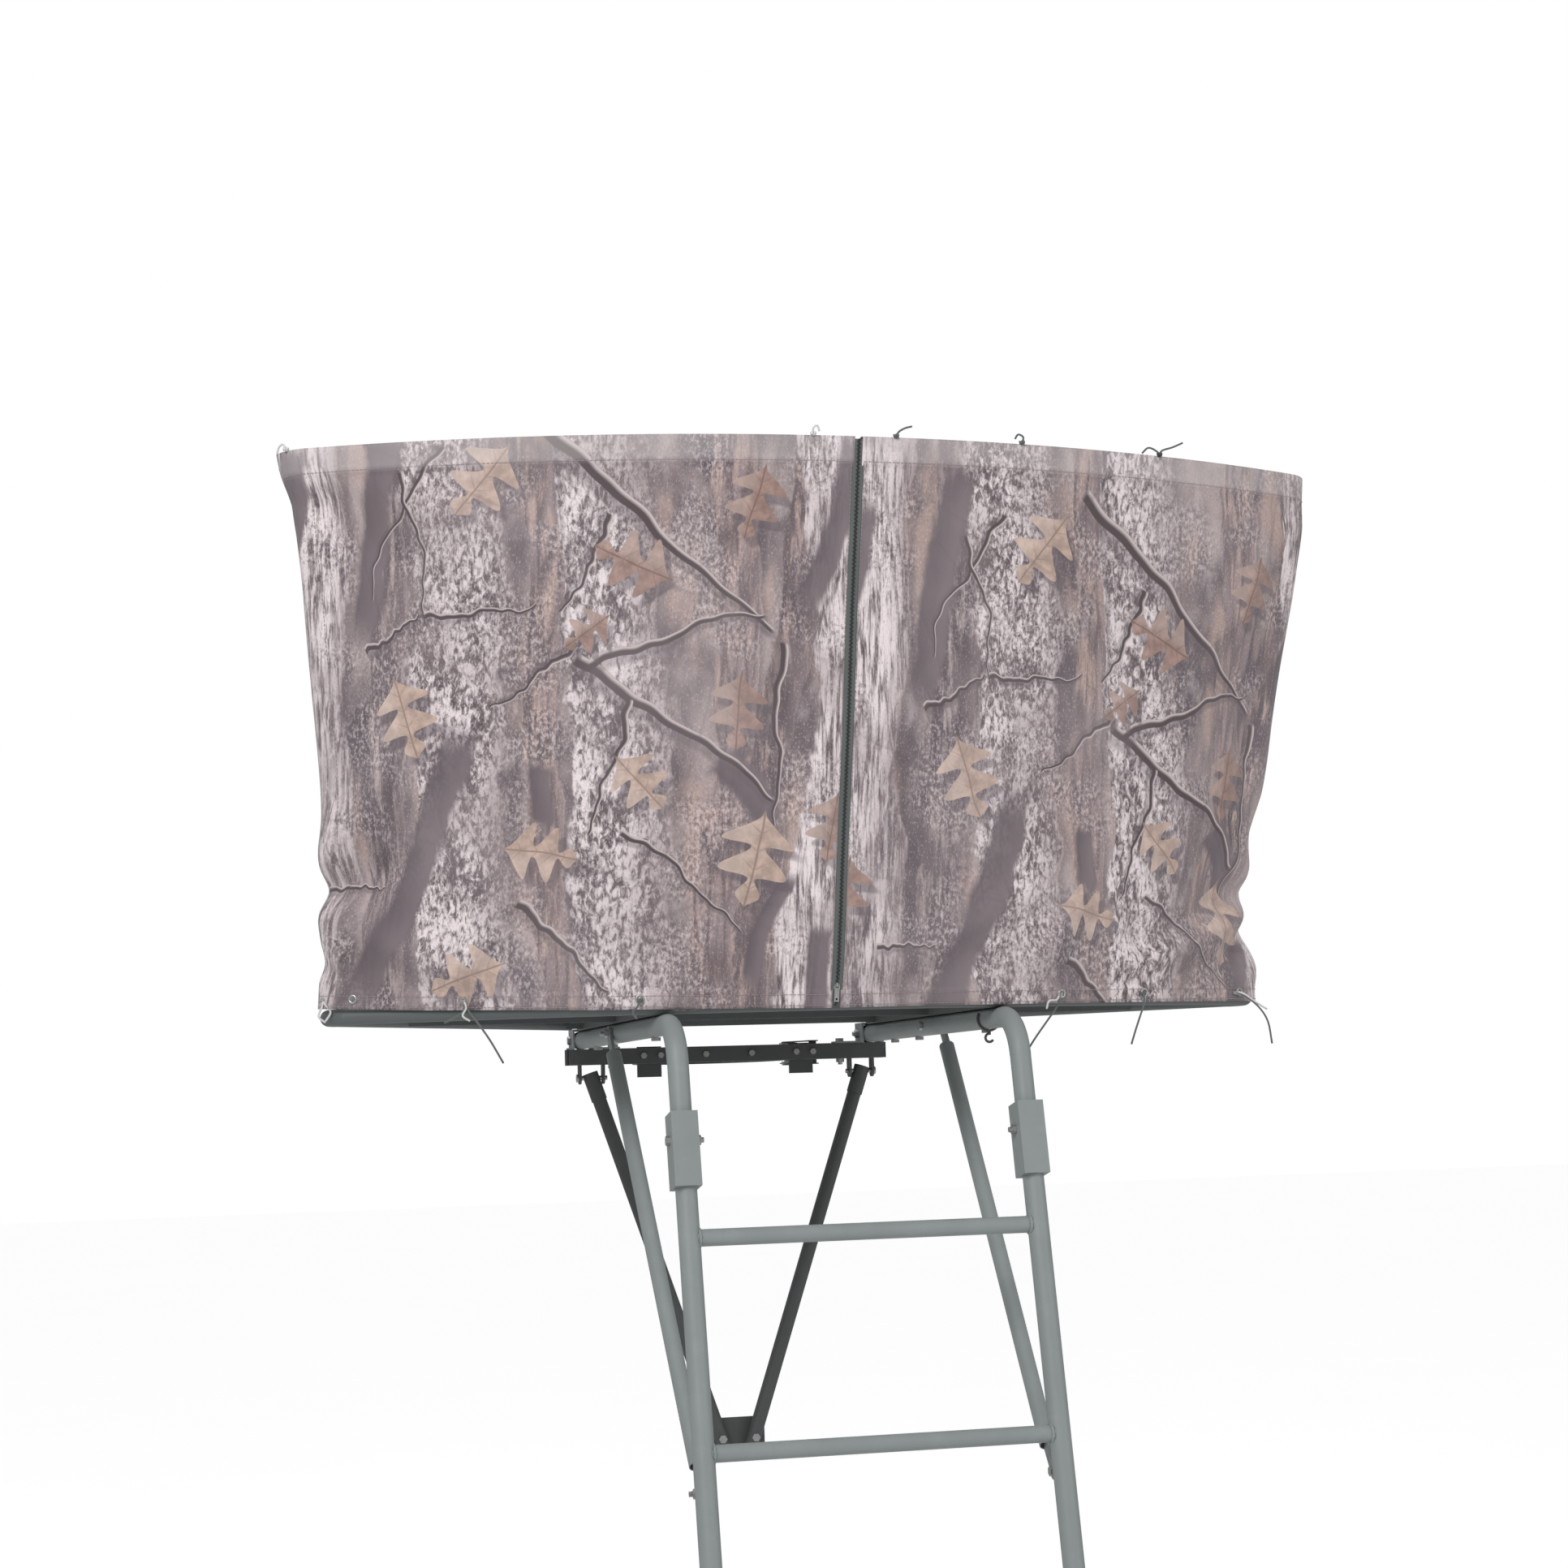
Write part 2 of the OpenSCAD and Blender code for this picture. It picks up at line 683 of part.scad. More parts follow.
// Right V tube's frame: origin on its pin, -Z down the tube
module on_v_tube() {
    translate([v_x, crossbar_y, v_z]) rotate([0, v_tilt, 0]) children();
}

function v_len() = norm([v_x - v_low_x, v_z - v_low_z]);

module v_tube(side) {
    color(dark_steel) on_platform() right_or_left(side) difference() {
        on_v_tube() translate([0, 0, -v_len() - 20]) cylinder(h = v_len() + 10, d = v_d);
        on_v_tube() translate([0, 0, -v_len() - 21]) cylinder(h = v_len() + 12, d = v_d - 2 * wall);
        translate([v_low_x, 0, v_low_z]) rod_y(crossbar_y - 30, crossbar_y + 30, hole_d);
    }
}

module v_tube_left() { v_tube(-1); }

module v_tube_right() { v_tube(1); }

module v_collars() {
    color(dark_steel) on_platform() both_sides() difference() {
        on_v_tube() translate([0, 0, -42]) cylinder(h = 51, d = 28);
        on_v_tube() translate([0, 0, -43]) cylinder(h = 34, d = v_d + 0.2);
        translate([v_x, crossbar_y, v_z]) rod_x(-30, 30, 2 * (pin_r + pin_play));
    }
}

module v_pins() {
    reach = clevis_w / 2 + ear_t;
    color(zinc) on_platform() both_sides() translate([v_x, crossbar_y, v_z]) {
        rod_x(-reach - 5, reach + 0.5, 2 * pin_r);
        rod_x(reach + 0.5, reach + 4, 14);
    }
}

// Toothed foot that joins the two tubes and rests on the trunk
module v_foot() {
    plate_t = 5;
    half = 52;
    front = crossbar_y + v_d / 2 + 0.3;
    color(dark_steel) on_platform() difference() {
        union() {
            translate([-half, front, v_low_z - 34]) cube([2 * half, plate_t, 68]);
            both_sides() for (i = [0:3]) translate([half - 4, front + plate_t - 1, v_low_z - 34 + 17 * i])
                rotate([90, 0, 90]) linear_extrude(height = 4)
                    polygon([[0, 0], [14, 0], [19, 8.5], [14, 17], [0, 17]]);
        }
        for (s = [-1, 1]) translate([s * v_low_x, 0, v_low_z])
            rod_y(front - 1, front + plate_t + 1, hole_d);
    }
}

module v_foot_bolts() {
    front = crossbar_y - v_d / 2 - 0.5;
    color(zinc) on_platform() for (s = [-1, 1]) translate([s * v_low_x, front, v_low_z])
        rotate([-90, 0, 0]) {
            bolt(v_d + 15);
            translate([0, 0, v_d + 6]) nut();
        }
}

// ---------- Back frame and seat ----------

module back_frame() {
    base_z = deck_top + 0.2;
    color(frame_steel) on_platform() difference() {
        union() {
            both_sides() translate([half_gap, 0, 0]) {
                translate([0, post_y, base_z + 1]) cylinder(h = post_top - base_z - 1, d = post_d);
                translate([-22, post_y - 25, base_z]) cube([44, 50, post_base_t]);
                translate([-support_a / 2, seat_front_y + 34, support_top - support_a])
                    cube([support_a, post_y - seat_front_y - 34, support_a]);
                translate([-2, post_y, support_top - support_a]) rotate([90, 0, 90])
                    linear_extrude(height = 4) polygon([[0, 1], [-190, 1], [0, -150]]);
                translate([post_d / 2 - 2, post_y - 44, rail_z - rail_tube_d / 2 - 6.5])
                    cube([8.5, 44, 6]);
            }
            for (z = [590, 760]) translate([0, post_y, z]) rod_x(-half_gap, half_gap, 22);
        }
        both_sides() translate([half_gap, post_y, base_z - 1])
            cylinder(h = post_top + 2, d = post_d - 2 * wall);
        translate([0, post_y, rail_z]) rod_x(-300, 300, hole_d);
        both_sides() for (y = post_screw_ys) translate([half_gap, y, base_z - 1])
            cylinder(h = post_base_t + 2, d = screw_hole);
    }
}

// Screws through the posts' base plates into nuts inside the platform's beams
module post_screws() {
    top = deck_top + 0.3 + post_base_t;
    color(zinc) on_platform() both_sides() for (y = post_screw_ys) translate([half_gap, y, 0]) {
        translate([0, 0, top]) rotate([180, 0, 0]) bolt(post_base_t + wall + 8, screw_d, screw_af);
        translate([0, 0, deck_top - wall - 5.1]) nut(screw_d + 0.1, screw_af, 5);
    }
}

// Nylon blocks in which the seat's rear tube turns
module seat_bearings() {
    color(black_plastic) on_platform() both_sides() difference() {
        translate([half_gap - 11, seat_hinge_y - 17, support_top + 0.1])
            cube([22, 34, seat_d + 5]);
        translate([0, seat_hinge_y, seat_z]) rod_x(0, half_gap + 20, seat_d + 0.1);
    }
}

module backrest() {
    color(pad_colour) on_platform() translate([0, post_y - post_d / 2 - 0.5, 675])
        rotate([90, 0, 0]) linear_extrude(height = 20) offset(r = 30) square([560, 160], center = true);
}

module seat_frame() {
    side_t = 6;
    side_h = 20;
    color(frame_steel) on_platform() translate([0, 0, seat_z]) difference() {
        union() {
            for (y = seat_tube_ys) translate([0, y, 0])
                rod_x(-seat_half_w + side_t / 2, seat_half_w - side_t / 2, seat_d);
            both_sides() translate([seat_half_w - side_t, seat_front_y - 8, -side_h / 2])
                cube([side_t, seat_depth + 16, side_h]);
        }
        for (y = seat_tube_ys) translate([0, y, 0])
            rod_x(-seat_half_w - 1, seat_half_w + 1, seat_d - 2 * wall - 2);
    }
}

module seat_panel() {
    color(frame_steel) on_platform()
        translate([-seat_half_w, seat_front_y, seat_z + seat_d / 2 + 0.1])
            cube([2 * seat_half_w, seat_depth - 24, panel_t]);
}

module seat_cushion() {
    round_r = 12;
    w = 2 * seat_half_w - 16;
    d = seat_depth - 28;
    color(pad_colour) on_platform()
        translate([0, seat_front_y + 4 + d / 2, seat_z + seat_d / 2 + panel_t + 0.3])
            linear_extrude(height = cushion_t) offset(r = round_r)
                square([w - 2 * round_r, d - 2 * round_r], center = true);
}

// ---------- Shooting rail ----------

module rail_path(d, extra = 0) {
    translate([0, 0, rail_z])
        bow_tube(rail_bow_r, rail_corner_r, rail_half_w, -rail_ahead, rail_end, d, extra);
}

module shooting_rail() {
    tab = 4;
    color(frame_steel) on_platform() difference() {
        union() {
            rail_path(rail_tube_d);
            both_sides() translate([rail_tab_x, 0, rail_z]) {
                translate([0, post_y, 0]) rod_x(0, tab, 24);
                translate([0, rail_end[1] - 30, -12]) cube([tab, post_y - rail_end[1] + 30, 24]);
                translate([0, rail_end[1] - 30, -4]) cube([30, 20, 8]);
            }
        }
        rail_path(rail_tube_d - 2 * wall, 1);
        translate([0, post_y, rail_z]) rod_x(-300, 300, 2 * (pin_r + pin_play));
    }
}

module rail_bolts() {
    x0 = half_gap - post_d / 2 - 0.1;
    color(zinc) on_platform() both_sides() {
        translate([x0, post_y, rail_z]) rotate([0, 90, 0]) bolt(post_d + 17, 2 * pin_r);
        translate([rail_tab_x + 5.3, post_y, rail_z]) rotate([0, 90, 0]) nut();
    }
}

module rail_washers() {
    color(black_plastic) on_platform() both_sides() for (x = [rail_tab_x - 1.2, rail_tab_x + 4.1])
        translate([x, post_y, rail_z]) rotate([0, 90, 0]) difference() {
            cylinder(h = 1.1, d = 20);
            translate([0, 0, -1]) cylinder(h = 4, d = hole_d);
        }
}

// Frame along one straight side of the shooting rail, +X towards the tree
module on_rail_side() {
    cx = corner_x(rail_half_w, rail_corner_r);
    cy = corner_y(rail_bow_r, rail_corner_r, rail_half_w, -rail_ahead);
    alpha = side_angle(cx, cy, rail_corner_r, rail_end);
    translate([cx + rail_corner_r * cos(alpha), cy + rail_corner_r * sin(alpha), rail_z])
        rotate([0, 0, alpha + 90]) children();
}

function rail_side_len() =
    let (c = [corner_x(rail_half_w, rail_corner_r),
        corner_y(rail_bow_r, rail_corner_r, rail_half_w, -rail_ahead)])
    sqrt(pow(norm(rail_end - c), 2) - pow(rail_corner_r, 2));

module rail_caps() {
    color(black_plastic) on_platform() both_sides() on_rail_side() translate([rail_side_len(), 0, 0]) {
        rod_x(-14, eps, rail_tube_d - 2 * wall - 0.2);
        rod_x(eps, 3, rail_tube_d);
    }
}

module arm_pad(side) {
    color(pad_colour) on_platform() right_or_left(side) on_rail_side() difference() {
        rod_x(120, 560, pad_d);
        rod_x(119, 561, rail_tube_d + 0.4);
    }
}

module arm_pad_left() { arm_pad(-1); }

module arm_pad_right() { arm_pad(1); }

// ---------- Skirt ----------

// Point on the cloth: t runs from -1 at the left edge to 1 at the right, k from the top to the hem
function top_reach() = bow_reach(rail_bow_r, rail_corner_r, rail_half_w);
function low_reach() = bow_reach(deck_bow_r, deck_corner_r, deck_half_w);
function cloth_point(s_top, s_low, k, off) =
    let (a = bow_point(rail_bow_r, rail_corner_r, rail_half_w, -rail_ahead, top_off + off, s_top),
        b = bow_point(deck_bow_r, deck_corner_r, deck_half_w, deck_front, low_off + off, s_low))
    [a[0] + (b[0] - a[0]) * k, a[1] + (b[1] - a[1]) * k, skirt_top + (hem_z - skirt_top) * k];

// Arc lengths, at the top and at the hem, where the tubes' corners begin
function corner_start() = [bow_arc(rail_bow_r, rail_corner_r, rail_half_w),
    bow_arc(deck_bow_r, deck_corner_r, deck_half_w)];

// Stations from a up to b, without b
function spread(a, b, steps) = [for (i = [0:steps - 1]) a + (b - a) * i / steps];

// Ruled panel through stations, each given by its arc lengths at the top and at the hem
module cloth_panel(columns) {
    steps = len(columns) - 1;
    points = [for (c = columns, off = [cloth_t / 2, -cloth_t / 2], k = [0, 1])
        cloth_point(c[0], c[1], k, off)];
    // Each column holds four points: outer top, outer hem, inner top, inner hem
    ring = [[0, 1], [1, 3], [3, 2], [2, 0]];
    walls = [for (i = [0:steps - 1], e = ring, half = [0, 1])
        half == 0 ? [4 * i + e[0], 4 * i + e[1], 4 * i + 4 + e[0]]
            : [4 * i + e[1], 4 * i + 4 + e[1], 4 * i + 4 + e[0]]];
    last = 4 * steps;
    ends = [[0, 2, 3], [0, 3, 1], [last, last + 3, last + 2], [last, last + 1, last + 3]];
    polyhedron(points = points, faces = concat(walls, ends), convexity = 6);
}

module skirt_left() {
    edge = [-top_reach(), -low_reach()];
    last = [zip_top_x, zip_low_x] - [zip_w / 2, zip_w / 2];
    color(cloth_colour) on_platform()
        cloth_panel(concat(spread(edge, -corner_start(), 6), spread(-corner_start(), last, 22), [last]));
}

module skirt_right() {
    edge = [top_reach(), low_reach()];
    first = [zip_top_x, zip_low_x] + [zip_w / 2, zip_w / 2];
    color(cloth_colour) on_platform()
        cloth_panel(concat(spread(first, corner_start(), 22), spread(corner_start(), edge, 6), [edge]));
}

module zipper_tape() {
    half = zip_w / 2 - 0.2;
    color(dark_steel) on_platform()
        cloth_panel([[zip_top_x - half, zip_low_x - half], [zip_top_x + half, zip_low_x + half]]);
}

// Frame on the zipper's line, at share k of the way down: +Z up the zipper, -Y to the front
module on_zipper(k) {
    a = cloth_point(zip_top_x, zip_low_x, 0, 0);
    b = cloth_point(zip_top_x, zip_low_x, 1, 0);
    v = a - b;
    translate(a + (b - a) * k)
        rotate([atan2(-v[1], v[2]), 0, 0]) rotate([0, asin(v[0] / norm(v)), 0]) children();
}

slider_k = 0.965;

module zipper_slider() {
    face = -cloth_t / 2 - 0.4;
    color(zinc) on_platform() on_zipper(slider_k) difference() {
        union() {
            translate([-5, face - 2, -7]) cube([10, 2, 14]);
            translate([-1.6, face - 5, -3]) cube([3.2, 3.2, 6]);
        }
        translate([0, face - 3.4, 0]) rod_x(-3, 3, 1.7);
    }
}

module zipper_pull() {
    face = -cloth_t / 2 - 0.4;
    color(zinc) on_platform() on_zipper(slider_k) translate([0, face - 3.4, 0]) {
        rod_x(-3.8, 3.8, 1.6);
        for (s = [-1, 1]) translate([s * 3.1 - 0.7, -0.8, -5]) cube([1.4, 1.6, 5]);
        difference() {
            translate([-3.8, -0.8, -26]) cube([7.6, 1.6, 21.5]);
            translate([0, 0, -22]) rod_y(-2, 2, 3.4);
        }
    }
}

// Places of the grommets along the hem, as shares of the reach
hem_ties = [-0.93, -0.71, -0.38, 0.46, 0.66, 0.93];

// Point on the cloth's outer face at share t of the reach, and the unit normal there
function face_point(t, k) = cloth_point(t * top_reach(), t * low_reach(), k, cloth_t / 2);
function face_normal(t, k) =
    let (n = cross(face_point(t + 0.001, k) - face_point(t - 0.001, k),
        face_point(t, k - 0.01) - face_point(t, k + 0.01)))
    n / norm(n);

module grommets() {
    k = 0.982;
    color(zinc) on_platform() for (t = hem_ties) {
        p = face_point(t, k) + 0.2 * face_normal(t, k);
        q = face_point(t, k) + 1.6 * face_normal(t, k);
        difference() {
            bar(p, q, 15);
            bar(p, q, 7, 1);
        }
    }
}

module ties_top() {
    color(cord_colour) on_platform() for (t = [-0.97, -0.06, 0.09, 0.33, 0.62]) {
        p = cloth_point(t * top_reach(), t * low_reach(), 0, 0) + [0, 0, 1.5];
        bar(p, p + [8, 4, 15], 2.6);
    }
}

module ties_bottom() {
    color(cord_colour) on_platform() for (t = hem_ties) {
        p = cloth_point(t * top_reach(), t * low_reach(), 1, 0) - [0, 1, 1.5];
        bar(p, p + [t < 0 ? 14 : -16, -6, -62], 2.6);
    }
}

// Wire clip round the right arm, with a hook below it for gear
module gear_hook() {
    wire = 4;
    clip_r = rail_d / 2 + wire / 2 + 0.3;
    grip = 120;
    hook_r = 6.5;
    neck_z = -clip_r - 5;
    color(dark_steel) on_platform() translate([half_gap, arm_bolt_ys[0] - 16, arm_z])
        rotate([90, 0, 0]) {
            rotate([0, 0, 270 - grip]) rotate_extrude(angle = 2 * grip) translate([clip_r, 0])
                circle(d = wire, $fn = 24);
            translate([0, -clip_r, 0]) rotate([90, 0, 0]) cylinder(h = 7, d = wire + 1, $fn = 32);
            translate([0, neck_z - hook_r, 0]) rotate([0, 0, 90]) rotate_extrude(angle = 240)
                translate([hook_r, 0]) circle(d = wire, $fn = 24);
        }
}

// ---------- Tree strap and ratchet ----------

// Angle on the trunk at which the strap from the pin at (bracket_x, strap_pin_y) touches it
function strap_angle(from) =
    atan2(from[1] - trunk_y, from[0]) + acos(strap_r / norm([from[0], from[1] - trunk_y]));
function strap_touch(from) = [0, trunk_y] + strap_r * [cos(strap_angle(from)), sin(strap_angle(from))];

// Straight run of webbing between two points in plan, lapped past the second one
module web_run(p, q, lap = 0) {
    v = q - p;
    translate([p[0], p[1], crossbar_z - strap_w / 2]) rotate([0, 0, atan2(v[1], v[0])])
        translate([0, -strap_t / 2, 0]) cube([norm(v) + lap, strap_t, strap_w]);
}

// Upright cylinder across the webbing
module web_post(p, r, extra = 0) {
    translate([p[0], p[1], crossbar_z - strap_w / 2 - extra])
        cylinder(h = strap_w + 2 * extra, r = r);
}

module tree_strap() {
    pin = [-bracket_x, strap_pin_y];
    spool = [ratchet_x, spool_y];
    touch = strap_touch([bracket_x, strap_pin_y]);
    a0 = strap_angle(spool);
    a1 = 180 - strap_angle([bracket_x, strap_pin_y]);
    arc_t = strap_t - 0.4;
    color(black_plastic) on_platform() difference() {
        union() {
            web_post(pin, loop_r + strap_t, seam_t);
            web_run(pin, [-touch[0], touch[1]], bend_lap);
            translate([0, trunk_y, crossbar_z - strap_w / 2]) rotate([0, 0, a0])
                rotate_extrude(angle = a1 - a0, $fn = 96)
                    translate([strap_r - arc_t / 2, 0.2]) square([arc_t, strap_w - 0.4]);
            web_run(spool, strap_touch(spool), bend_lap);
        }
        web_post(pin, loop_r, 1);
        web_post(spool, spool_r + 1, 1);
    }
}

// Sewn strap from the right bracket to the ratchet
module short_strap() {
    ends = [[bracket_x, strap_pin_y], [ratchet_x, frame_pin_y]];
    radii = [loop_r, 4.3];
    color(black_plastic) on_platform() difference() {
        union() {
            for (i = [0, 1]) web_post(ends[i], radii[i] + strap_t, seam_t);
            web_run(ends[0], ends[1]);
        }
        for (i = [0, 1]) web_post(ends[i], radii[i], 1);
    }
}

module ratchet_frame() {
    half = strap_w / 2 + 2.5;
    color(zinc) on_platform() translate([ratchet_x, 0, crossbar_z]) {
        difference() {
            for (z = [-half - 2, half]) translate([0, 0, z]) linear_extrude(height = 2)
                polygon([[-11, frame_pin_y - 8], [11, frame_pin_y - 8], [15, spool_y - 24],
                    [12, spool_y + 12], [-11, spool_y + 12]]);
            translate([0, spool_y, -30]) cylinder(h = 60, r = spool_r + pin_play);
        }
        translate([0, frame_pin_y, -half - 1]) cylinder(h = 2 * half + 2, d = 8);
    }
}

module ratchet_spool() {
    half = strap_w / 2 + 4.5;
    teeth = 12;
    wheel = [for (i = [0:teeth - 1], j = [0, 1])
        let (a = 360 / teeth * (i + 0.85 * j), r = j == 0 ? 17 : 13.5) [r * cos(a), r * sin(a)]];
    color(zinc) on_platform() translate([ratchet_x, spool_y, crossbar_z]) difference() {
        union() {
            translate([0, 0, -half - 5]) cylinder(h = 2 * half + 10, r = spool_r);
            for (z = [-half - 2.4, half + 0.4]) translate([0, 0, z])
                linear_extrude(height = 2) polygon(wheel);
        }
        translate([-1.6, -20, -strap_w / 2]) cube([3.2, 40, strap_w]);
    }
}

module ratchet_handle() {
    half = strap_w / 2 + 7.3;
    grip = [30, -66];
    color(dark_steel) on_platform() translate([ratchet_x, spool_y, crossbar_z]) {
        difference() {
            for (z = [-half - 2, half]) translate([0, 0, z]) linear_extrude(height = 2)
                polygon([[-10, 12], [-11, -8], [15, -46], [grip[0] - 9, grip[1] - 8],
                    [grip[0] + 9, grip[1] - 8], [grip[0] + 9, grip[1] + 10], [14, -6], [10, 12]]);
            translate([0, 0, -40]) cylinder(h = 80, r = spool_r + pin_play);
        }
        translate([grip[0], grip[1], -half - 1]) cylinder(h = 2 * half + 2, d = 14);
    }
}

// ---------- Stabilizer: telescoping bar from a rung to the trunk ----------

module stabilizer_outer() {
    ring_half = 22;
    color(frame_steel) translate([0, stab_y, stab_z]) difference() {
        union() {
            rod_x(-ring_half, ring_half, rung_d + 10);
            rod_y(12, stab_tube_end - stab_y, stab_d);
        }
        rod_x(-ring_half - 1, ring_half + 1, rung_d + 2 * pin_play);
        rod_y(30, stab_tube_end - stab_y + 1, stab_bore);
        translate([0, stab_tube_end - stab_y - 30, 0]) cylinder(h = 30, d = 6.2);
    }
}

module stabilizer_inner() {
    color(ladder_steel) translate([0, 0, stab_z]) difference() {
        rod_y(stab_y + 440, yoke_y, stab_inner_d);
        rod_y(stab_y + 439, yoke_y + 1, stab_inner_d - 2 * wall);
    }
}

module stabilizer_yoke() {
    wing = 62;
    plate_t = 4;
    color(dark_steel) translate([0, yoke_y, stab_z]) {
        rod_y(-25, 1, stab_inner_d - 2 * wall - 0.2);
        translate([-30, 0.1, -20]) cube([60, plate_t, 40]);
        both_sides() translate([28, 0.1, -20]) rotate([0, 0, 32]) {
            cube([wing, plate_t, 40]);
            for (i = [0:3]) translate([wing - 6, plate_t - 1, 10 * i]) rotate([90, 0, 90])
                linear_extrude(height = 5) polygon([[0, 0], [9, 5], [0, 10]]);
        }
    }
}

module stabilizer_knob() {
    lobes = 6;
    z0 = stab_d / 2 + 5;
    color(black_plastic) translate([0, stab_tube_end - 30, stab_z]) {
        translate([0, 0, stab_inner_d / 2 + 0.3]) cylinder(h = 20, d = 6);
        translate([0, 0, z0]) cylinder(h = 14, d = 24);
        for (i = [0:lobes - 1]) rotate([0, 0, 360 / lobes * i]) translate([12, 0, z0])
            cylinder(h = 14, d = 9);
    }
}

foot_bar();
foot_bolts();
ladder_lower();
ladder_upper();
arm_left();
arm_right();
section_bolts();
platform_frame();
platform_deck();
platform_bolts();
brace_left();
brace_right();
brace_bolts();
crossbar();
tube_caps();
saddle_left();
saddle_right();
saddle_bolts();
tree_plate();
strap_bracket_left();
strap_bracket_right();
bracket_screws();
v_tube_left();
v_tube_right();
v_collars();
v_foot();
v_foot_bolts();
v_pins();
back_frame();
post_screws();
seat_bearings();
backrest();
seat_frame();
seat_panel();
seat_cushion();
shooting_rail();
rail_bolts();
rail_washers();
rail_caps();
arm_pad_left();
arm_pad_right();
skirt_left();
skirt_right();
zipper_tape();
zipper_slider();
zipper_pull();
grommets();
ties_top();
ties_bottom();
gear_hook();
tree_strap();
short_strap();
ratchet_frame();
ratchet_spool();
ratchet_handle();
stabilizer_outer();
stabilizer_inner();
stabilizer_yoke();
stabilizer_knob();
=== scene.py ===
"""Looks of the ladder tree stand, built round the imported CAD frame. Metres, the CAD's own frame.

Most pieces are placed in the platform frame: origin at the front centre of the platform level,
+X to the right, +Y towards the tree, +Z up.
"""

import json
import math

import bmesh
import bpy
import numpy as np
from mathutils import Matrix, Vector


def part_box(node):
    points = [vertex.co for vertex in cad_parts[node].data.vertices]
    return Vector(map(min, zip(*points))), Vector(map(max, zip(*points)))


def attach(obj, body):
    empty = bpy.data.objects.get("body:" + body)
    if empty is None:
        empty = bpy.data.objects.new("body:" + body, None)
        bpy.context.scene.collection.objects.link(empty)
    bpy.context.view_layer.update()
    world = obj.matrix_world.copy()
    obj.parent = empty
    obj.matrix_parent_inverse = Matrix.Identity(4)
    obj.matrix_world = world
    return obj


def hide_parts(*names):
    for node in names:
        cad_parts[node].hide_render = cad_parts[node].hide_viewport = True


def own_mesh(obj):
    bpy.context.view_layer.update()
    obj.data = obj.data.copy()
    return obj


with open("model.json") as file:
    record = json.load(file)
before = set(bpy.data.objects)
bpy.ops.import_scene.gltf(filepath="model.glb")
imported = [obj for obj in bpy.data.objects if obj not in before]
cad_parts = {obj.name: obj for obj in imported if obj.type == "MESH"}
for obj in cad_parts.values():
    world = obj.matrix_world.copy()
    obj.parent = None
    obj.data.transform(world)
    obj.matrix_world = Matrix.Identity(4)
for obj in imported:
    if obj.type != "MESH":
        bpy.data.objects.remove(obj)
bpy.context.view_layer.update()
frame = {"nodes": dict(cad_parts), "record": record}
nodes = frame["nodes"]
rng = np.random.default_rng(7)
deck_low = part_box("platform_deck")[0]
DECK_FRONT = 0.021
DECK_UNDER = 0.0202
ORIGIN = Vector((0, deck_low.y - DECK_FRONT, deck_low.z - DECK_UNDER))


# ---------- Meshes ----------

# Outline of a bar with cut edges, as shares of its half sizes
CUT_SQUARE = ((-1, -0.7), (-0.7, -1), (0.7, -1), (1, -0.7), (1, 0.7), (0.7, 1), (-0.7, 1), (-1, 0.7))


class Shape:
    """Collects vertices and faces of one piece, in the platform frame unless told otherwise."""

    def __init__(self):
        self.verts, self.faces, self.mats = [], [], []

    def add(self, verts, faces, mat=0):
        """Adds faces whose indices count from this call's first vertex."""
        start = len(self.verts)
        self.verts += [tuple(v) for v in verts]
        self.faces += [tuple(start + i for i in f) for f in faces]
        self.mats += [mat] * len(faces)

    def tube(self, points, radius, sides=8, closed=False, mat=0):
        """Round bar along points; radius is a number or one number per point."""
        pts = [Vector(p) for p in points]
        n = len(pts)
        radii = [radius] * n if isinstance(radius, (int, float)) else list(radius)
        verts, side = [], None
        for i, p in enumerate(pts):
            ahead = pts[(i + 1) % n] if closed or i < n - 1 else p
            behind = pts[i - 1] if closed or i > 0 else p
            t = (ahead - behind).normalized()
            if side is None:
                side = t.orthogonal().normalized()
            side = (side - t * side.dot(t)).normalized()
            up = t.cross(side)
            for j in range(sides):
                a = 2 * math.pi * j / sides
                verts.append(p + (side * math.cos(a) + up * math.sin(a)) * radii[i])
        faces = []
        for i in range(n if closed else n - 1):
            for j in range(sides):
                a, b = i * sides + j, i * sides + (j + 1) % sides
                c, d = ((i + 1) % n) * sides + j, ((i + 1) % n) * sides + (j + 1) % sides
                faces.append((a, b, d, c))
        if not closed:
            faces.append(tuple(reversed(range(sides))))
            faces.append(tuple((n - 1) * sides + j for j in range(sides)))
        self.add(verts, faces, mat)

    def block(self, centre, axes, half, mat=0):
        """Box with three unit axes and half sizes, its long edges slightly cut."""
        c = Vector(centre)
        verts = []
        for sx in (-1, 1):
            for sy, sz in CUT_SQUARE:
                verts.append(c + axes[0] * half[0] * sx + axes[1] * half[1] * sy + axes[2] * half[2] * sz)
        faces = [(i, (i + 1) % 8, 8 + (i + 1) % 8, 8 + i) for i in range(8)]
        faces += [tuple(reversed(range(8))), tuple(range(8, 16))]
        self.add(verts, faces, mat)

    def piece(self, name, materials, body, smooth=True, world=False):
        """Makes the Blender object; world says that the vertices are in the CAD frame already."""
        mesh = bpy.data.meshes.new(name)
        shift = Vector() if world else ORIGIN
        mesh.from_pydata([tuple(Vector(v) + shift) for v in self.verts], [], self.faces)
        mesh.validate()
        for m in materials:
            mesh.materials.append(m)
        if len(mesh.polygons) == len(self.mats):
            mesh.polygons.foreach_set("material_index", self.mats)
        if smooth:
            mesh.shade_smooth()
        obj = new_object(name, mesh)
        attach(obj, body)
        return obj


